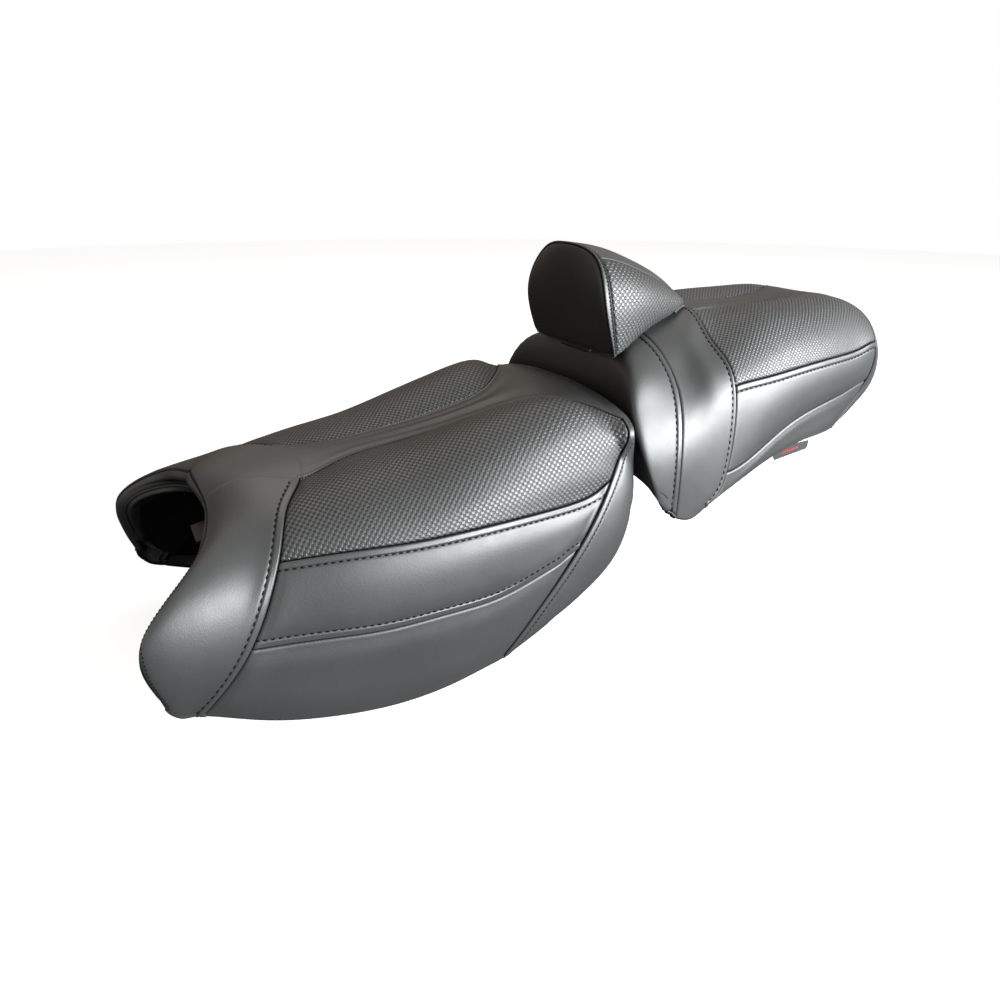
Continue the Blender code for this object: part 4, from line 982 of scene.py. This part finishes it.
def build_pad(looks):
    pad = Cushion(PAD_ROWS, hem=0.8)
    pad.inflate(pad_pins, lambda u, v: 1.8 + 0 * u, pressure=500.0)
    binding_seams = [crossways(pad, BINDING, -3, 3, "fold", gap=BINDING_FOLD)]
    binding = Panel(pad, [(0.04, BINDING, "open", "seam")], [(-3, 3, "hem", "hem")], binding_seams, step=1.6)
    binding.build("pad_binding", "backrest_pad", looks.hide)
    thread_row("pad_binding_thread", "backrest_pad", binding.stitch_line(0, 0, 0, "front", BINDING_FOLD),
               looks.thread, 0.6)
    rows = (BINDING, 4.97, "seam", "open")
    ridge = [lengthways(pad, s, BINDING, 5, "butt") for s in (-1, 1)]
    top_seams = [crossways(pad, BINDING, -1, 1, "butt")] + ridge
    top = Panel(pad, [rows], [(-1, 1, "seam", "seam")], top_seams, step=4.0)
    top.build("pad_top", "backrest_pad", looks.hide, "backrest_cover_top")
    for label, s in SIDES:
        seams = [crossways(pad, BINDING, s, 3 * s, "butt"), lengthways(pad, s, BINDING, 5, "butt")]
        gusset = Panel(pad, [rows], [ordered(s, 1, 3, "seam", "hem")], seams, step=4.0)
        gusset.build(f"pad_gusset_{label}", "backrest_pad", looks.weave, f"backrest_gusset_{label}")
    build_face(pad, looks)
    pad_core(pad, looks)


def pad_pins(u, v):
    hem = np.isclose(u, 0) | np.isclose(u, 5) | np.isclose(np.abs(v), 3, atol=0.01)
    return hem | np.isclose(np.abs(v), 1, atol=0.01)


def pad_core(pad, looks):
    """Foam and lining under the pad, recessed for the board and the hinge."""
    loops = [closed_loop(pad, u, 2.4) for u in np.concatenate([[0.12], np.arange(0.4, 4.5, 0.2)])]
    n, m = len(loops[0]), len(loops)
    centre = loops[0].mean(0)
    verts = np.concatenate(loops + [[centre], [loops[-1].mean(0)]])
    faces = tube_faces(m, n)
    faces += [((j + 1) % n, j, m * n) for j in range(n)]
    faces += [((m - 1) * n + j, (m - 1) * n + (j + 1) % n, m * n + 1) for j in range(n)]
    obj = mesh_object("pad_core", verts, [f[::-1] for f in faces], False)
    bm = bmesh.new()
    bm.from_mesh(obj.data)
    bmesh.ops.recalc_face_normals(bm, faces=bm.faces)
    bm.to_mesh(obj.data)
    bm.free()
    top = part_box("backrest_board")[1].z / MM + DATUM[2] + 0.4
    cut(obj, (-8, -71, 200), (140, 71, top))
    cut(obj, (-22, -32, 200), (0, 32, top))
    obj.data.set_sharp_from_angle(angle=math.radians(45))
    dress(obj, "backrest_pad", looks.lining, "backrest_foam")


# ---------------------------------------------------------------- small soft parts
def build_tab(cushion, looks):
    """Folded strap that draws the latch back: a flattened loop across the bike."""
    u, v = np.meshgrid(np.linspace(4, 6, 41), np.linspace(-2, 2, 81), indexing="ij")
    ground = cushion.point(u, v).reshape(-1, 3)

    def height(x, y):
        """Highest ground under a point over the latch's travel."""
        spots = [np.argsort(np.hypot(ground[:, 0] - x - t * MM, ground[:, 1] - y))[:4] for t in TAB_TRAVEL]
        return max(ground[k, 2].mean() for k in spots)

    low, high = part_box("pull_tab")
    columns = []
    for x in np.linspace(low.x, high.x, 9):
        half = TAB_HALF * MM - (x - low.x) * 0.62
        side = np.linspace(-half, half, 33)
        lower = [(x, y, height(x, y) + TAB_LIFT * MM) for y in side]
        upper = [(x, y, z + TAB_LOOP * MM) for _, y, z in lower[::-1]]
        ends = [[(x, y + s * bend * MM, z + rise * TAB_LOOP * MM)
                 for bend, rise in ((0.6, 0.12), (0.8, 0.5), (0.6, 0.88))]
                for (_, y, z), s in ((lower[-1], 1), (lower[0], -1))]
        columns.append(lower + ends[0] + upper + ends[1][::-1])
    n = len(columns[0])
    verts = [p for column in columns for p in column]
    faces = [(i * n + j, (i + 1) * n + j, (i + 1) * n + (j + 1) % n, i * n + (j + 1) % n)
             for i in range(len(columns) - 1) for j in range(n)]
    strap = thicken(mesh_object("pull_strap", verts, faces, False), TAB_CLOTH, 0.0)
    dress(strap, "release_tab", looks.webbing, "pull_tab")


def build_label(looks):
    """Plain tag under the passenger cushion: cloth with a bar of coloured thread."""
    low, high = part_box("side_label")
    deep = high.z - low.z
    corner = lambda x, z, r, start, end: [(x + r * math.cos(a) * MM, z + r * math.sin(a) * MM)
                                          for a in np.radians(np.linspace(start, end, 6))]
    outline = [(low.x, high.z - 0.17 * deep), (low.x + 0.11 * (high.x - low.x), low.z + 0.15 * deep)]
    outline += corner(low.x + 11 * MM, low.z + 3 * MM, 3, 200, 275)
    outline += corner(high.x - 4 * MM, low.z + 11 * MM, 4, 285, 360) + [(high.x, high.z)]
    bm = bmesh.new()
    near = [bm.verts.new((x, low.y, z)) for x, z in outline]
    far = bmesh.ops.extrude_face_region(bm, geom=[bm.faces.new(near)])
    moved = [g for g in far["geom"] if isinstance(g, bmesh.types.BMVert)]
    bmesh.ops.translate(bm, vec=(0, high.y - low.y, 0), verts=moved)
    bmesh.ops.recalc_face_normals(bm, faces=bm.faces)
    tag = from_bmesh("tag", bm)
    edge = tag.modifiers.new("edge", "BEVEL")
    edge.width, edge.segments = 0.35 * MM, 2
    dress(tag, "seats", looks.webbing, "side_label")
    start = np.array((low.x + 22 * MM, low.y - 0.1 * MM, low.z + 10.5 * MM))
    run = np.array((30, 0, 3.9)) * MM
    for k in range(3):
        flat = start + run * np.linspace(0, 1, 25)[:, None] - np.array((0, 0, 1.3 * k)) * MM
        row = (flat, np.tile((0, -1.0, 0), (25, 1)))
        thread_row(f"tag_bar_{k + 1}", "seats", row, looks.red_thread, 0.5, 0.5)


# ---------------------------------------------------------------- hardware, stage, camera
def finish_hardware(looks):
    plates = ("rider_front_tongue", "rider_rear_catch", "passenger_front_tongue", "striker_plate",
              "backrest_post", "post_plate", "hinge_leaf", "latch_guide")
    bright = ("lock_striker", "hinge_pin", "latch_bolt", "tab_rivet", "board_screw_1", "board_screw_2",
              "board_screw_3", "board_screw_4")
    for name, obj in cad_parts.items():
        if obj.hide_render:
            continue
        look = looks.plastic
        if name in plates:
            look = looks.coat
        elif name in bright:
            look = looks.zinc
        elif "bumper" in name:
            look = looks.rubber
        elif "pan" in name:
            look = looks.pan
        obj.data.materials.clear()
        obj.data.materials.append(look)
        obj.data.shade_smooth()
        obj.data.set_sharp_from_angle(angle=math.radians(60 if "pan" in name else 35))


def build_stage():
    low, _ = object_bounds()
    bm = bmesh.new()
    bmesh.ops.create_circle(bm, cap_ends=True, segments=96, radius=6.0)
    bmesh.ops.translate(bm, vec=(0, 0, low.z - 0.002), verts=bm.verts)
    floor = from_bmesh("floor", bm)
    mat, tree, bsdf, _ = start_material("floor")
    bsdf.inputs["Roughness"].default_value = 0.9
    bsdf.inputs["Specular IOR Level"].default_value = 0.1
    seen = node(tree, "LightPath").outputs["Is Camera Ray"]
    tree.links.new(tint(tree, seen, (0.04, 0.043, 0.046), (0.5, 0.5, 0.5)), bsdf.inputs["Base Color"])
    bsdf.inputs["Emission Color"].default_value = (1, 1, 1, 1)
    tree.links.new(maths(tree, "MULTIPLY", seen, 0.82), bsdf.inputs["Emission Strength"])
    floor.data.materials.append(mat)
    floor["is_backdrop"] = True


def light(name, place, target, size, power, colour):
    lamp = bpy.data.lights.new(name, "AREA")
    lamp.shape, lamp.size, lamp.size_y = "RECTANGLE", size[0], size[1]
    lamp.energy, lamp.color = power, colour
    obj = link(name, lamp)
    obj.location = place
    obj.rotation_euler = (Vector(target) - Vector(place)).to_track_quat("-Z", "Y").to_euler()


def build_world():
    """White to the camera; for light, a cool near side, a warm far side and little from below."""
    world = bpy.data.worlds.new("studio")
    bpy.context.scene.world = world
    world.use_nodes = True
    tree = world.node_tree
    direction = node(tree, "TexCoord").outputs["Generated"]
    split = node(tree, "SeparateXYZ", {0: direction})
    side = node(tree, "MapRange", {0: split.outputs[1], 1: -0.5, 2: 0.6}).outputs[0]
    seen = node(tree, "LightPath").outputs["Is Camera Ray"]
    ambient = tint(tree, side, (0.14, 0.155, 0.165), (0.33, 0.285, 0.235))
    mix = node(tree, "MixRGB", {"Fac": seen, "Color1": ambient, "Color2": (1, 1, 1, 1)}).outputs[0]
    tree.links.new(mix, tree.nodes["Background"].inputs["Color"])


def build_camera():
    turn, tilt = 0.443238, 0.422615
    camera = bpy.data.cameras.new("camera")
    camera.sensor_width, camera.lens = 36.0, 25.832
    camera.shift_x, camera.shift_y = 0.06145, -0.00132
    obj = link("camera", camera)
    obj.location = placed(-566.0, -749.9, 431.9)
    ahead = Vector((math.sin(turn) * math.cos(tilt), math.cos(turn) * math.cos(tilt), -math.sin(tilt)))
    obj.rotation_euler = ahead.to_track_quat("-Z", "Y").to_euler()
    bpy.context.scene.camera = obj


# ---------------------------------------------------------------- the whole seat
looks = Looks()
build_rider(looks)
rear_cushion = build_passenger(looks)
build_pad(looks)
build_tab(rear_cushion, looks)
build_label(looks)
finish_hardware(looks)
build_stage()
build_world()
light("near_window", (1.5, -2.1, 0.9), (0.05, 0, 0.05), (2.6, 1.2), 335, (0.95, 0.99, 1.0))
light("front_fill", (-2.4, -0.3, 0.8), (0, 0, 0.05), (1.6, 1.6), 12, (1.0, 0.97, 0.93))
light("overhead", (0.3, 0.9, 2.0), (0, 0, 0), (2.0, 1.4), 12, (1.0, 0.92, 0.82))
build_camera()
bpy.context.scene.view_settings.view_transform = "Standard"

{"cad": CAD_BOX, "visual": [list(corner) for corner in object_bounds()]}
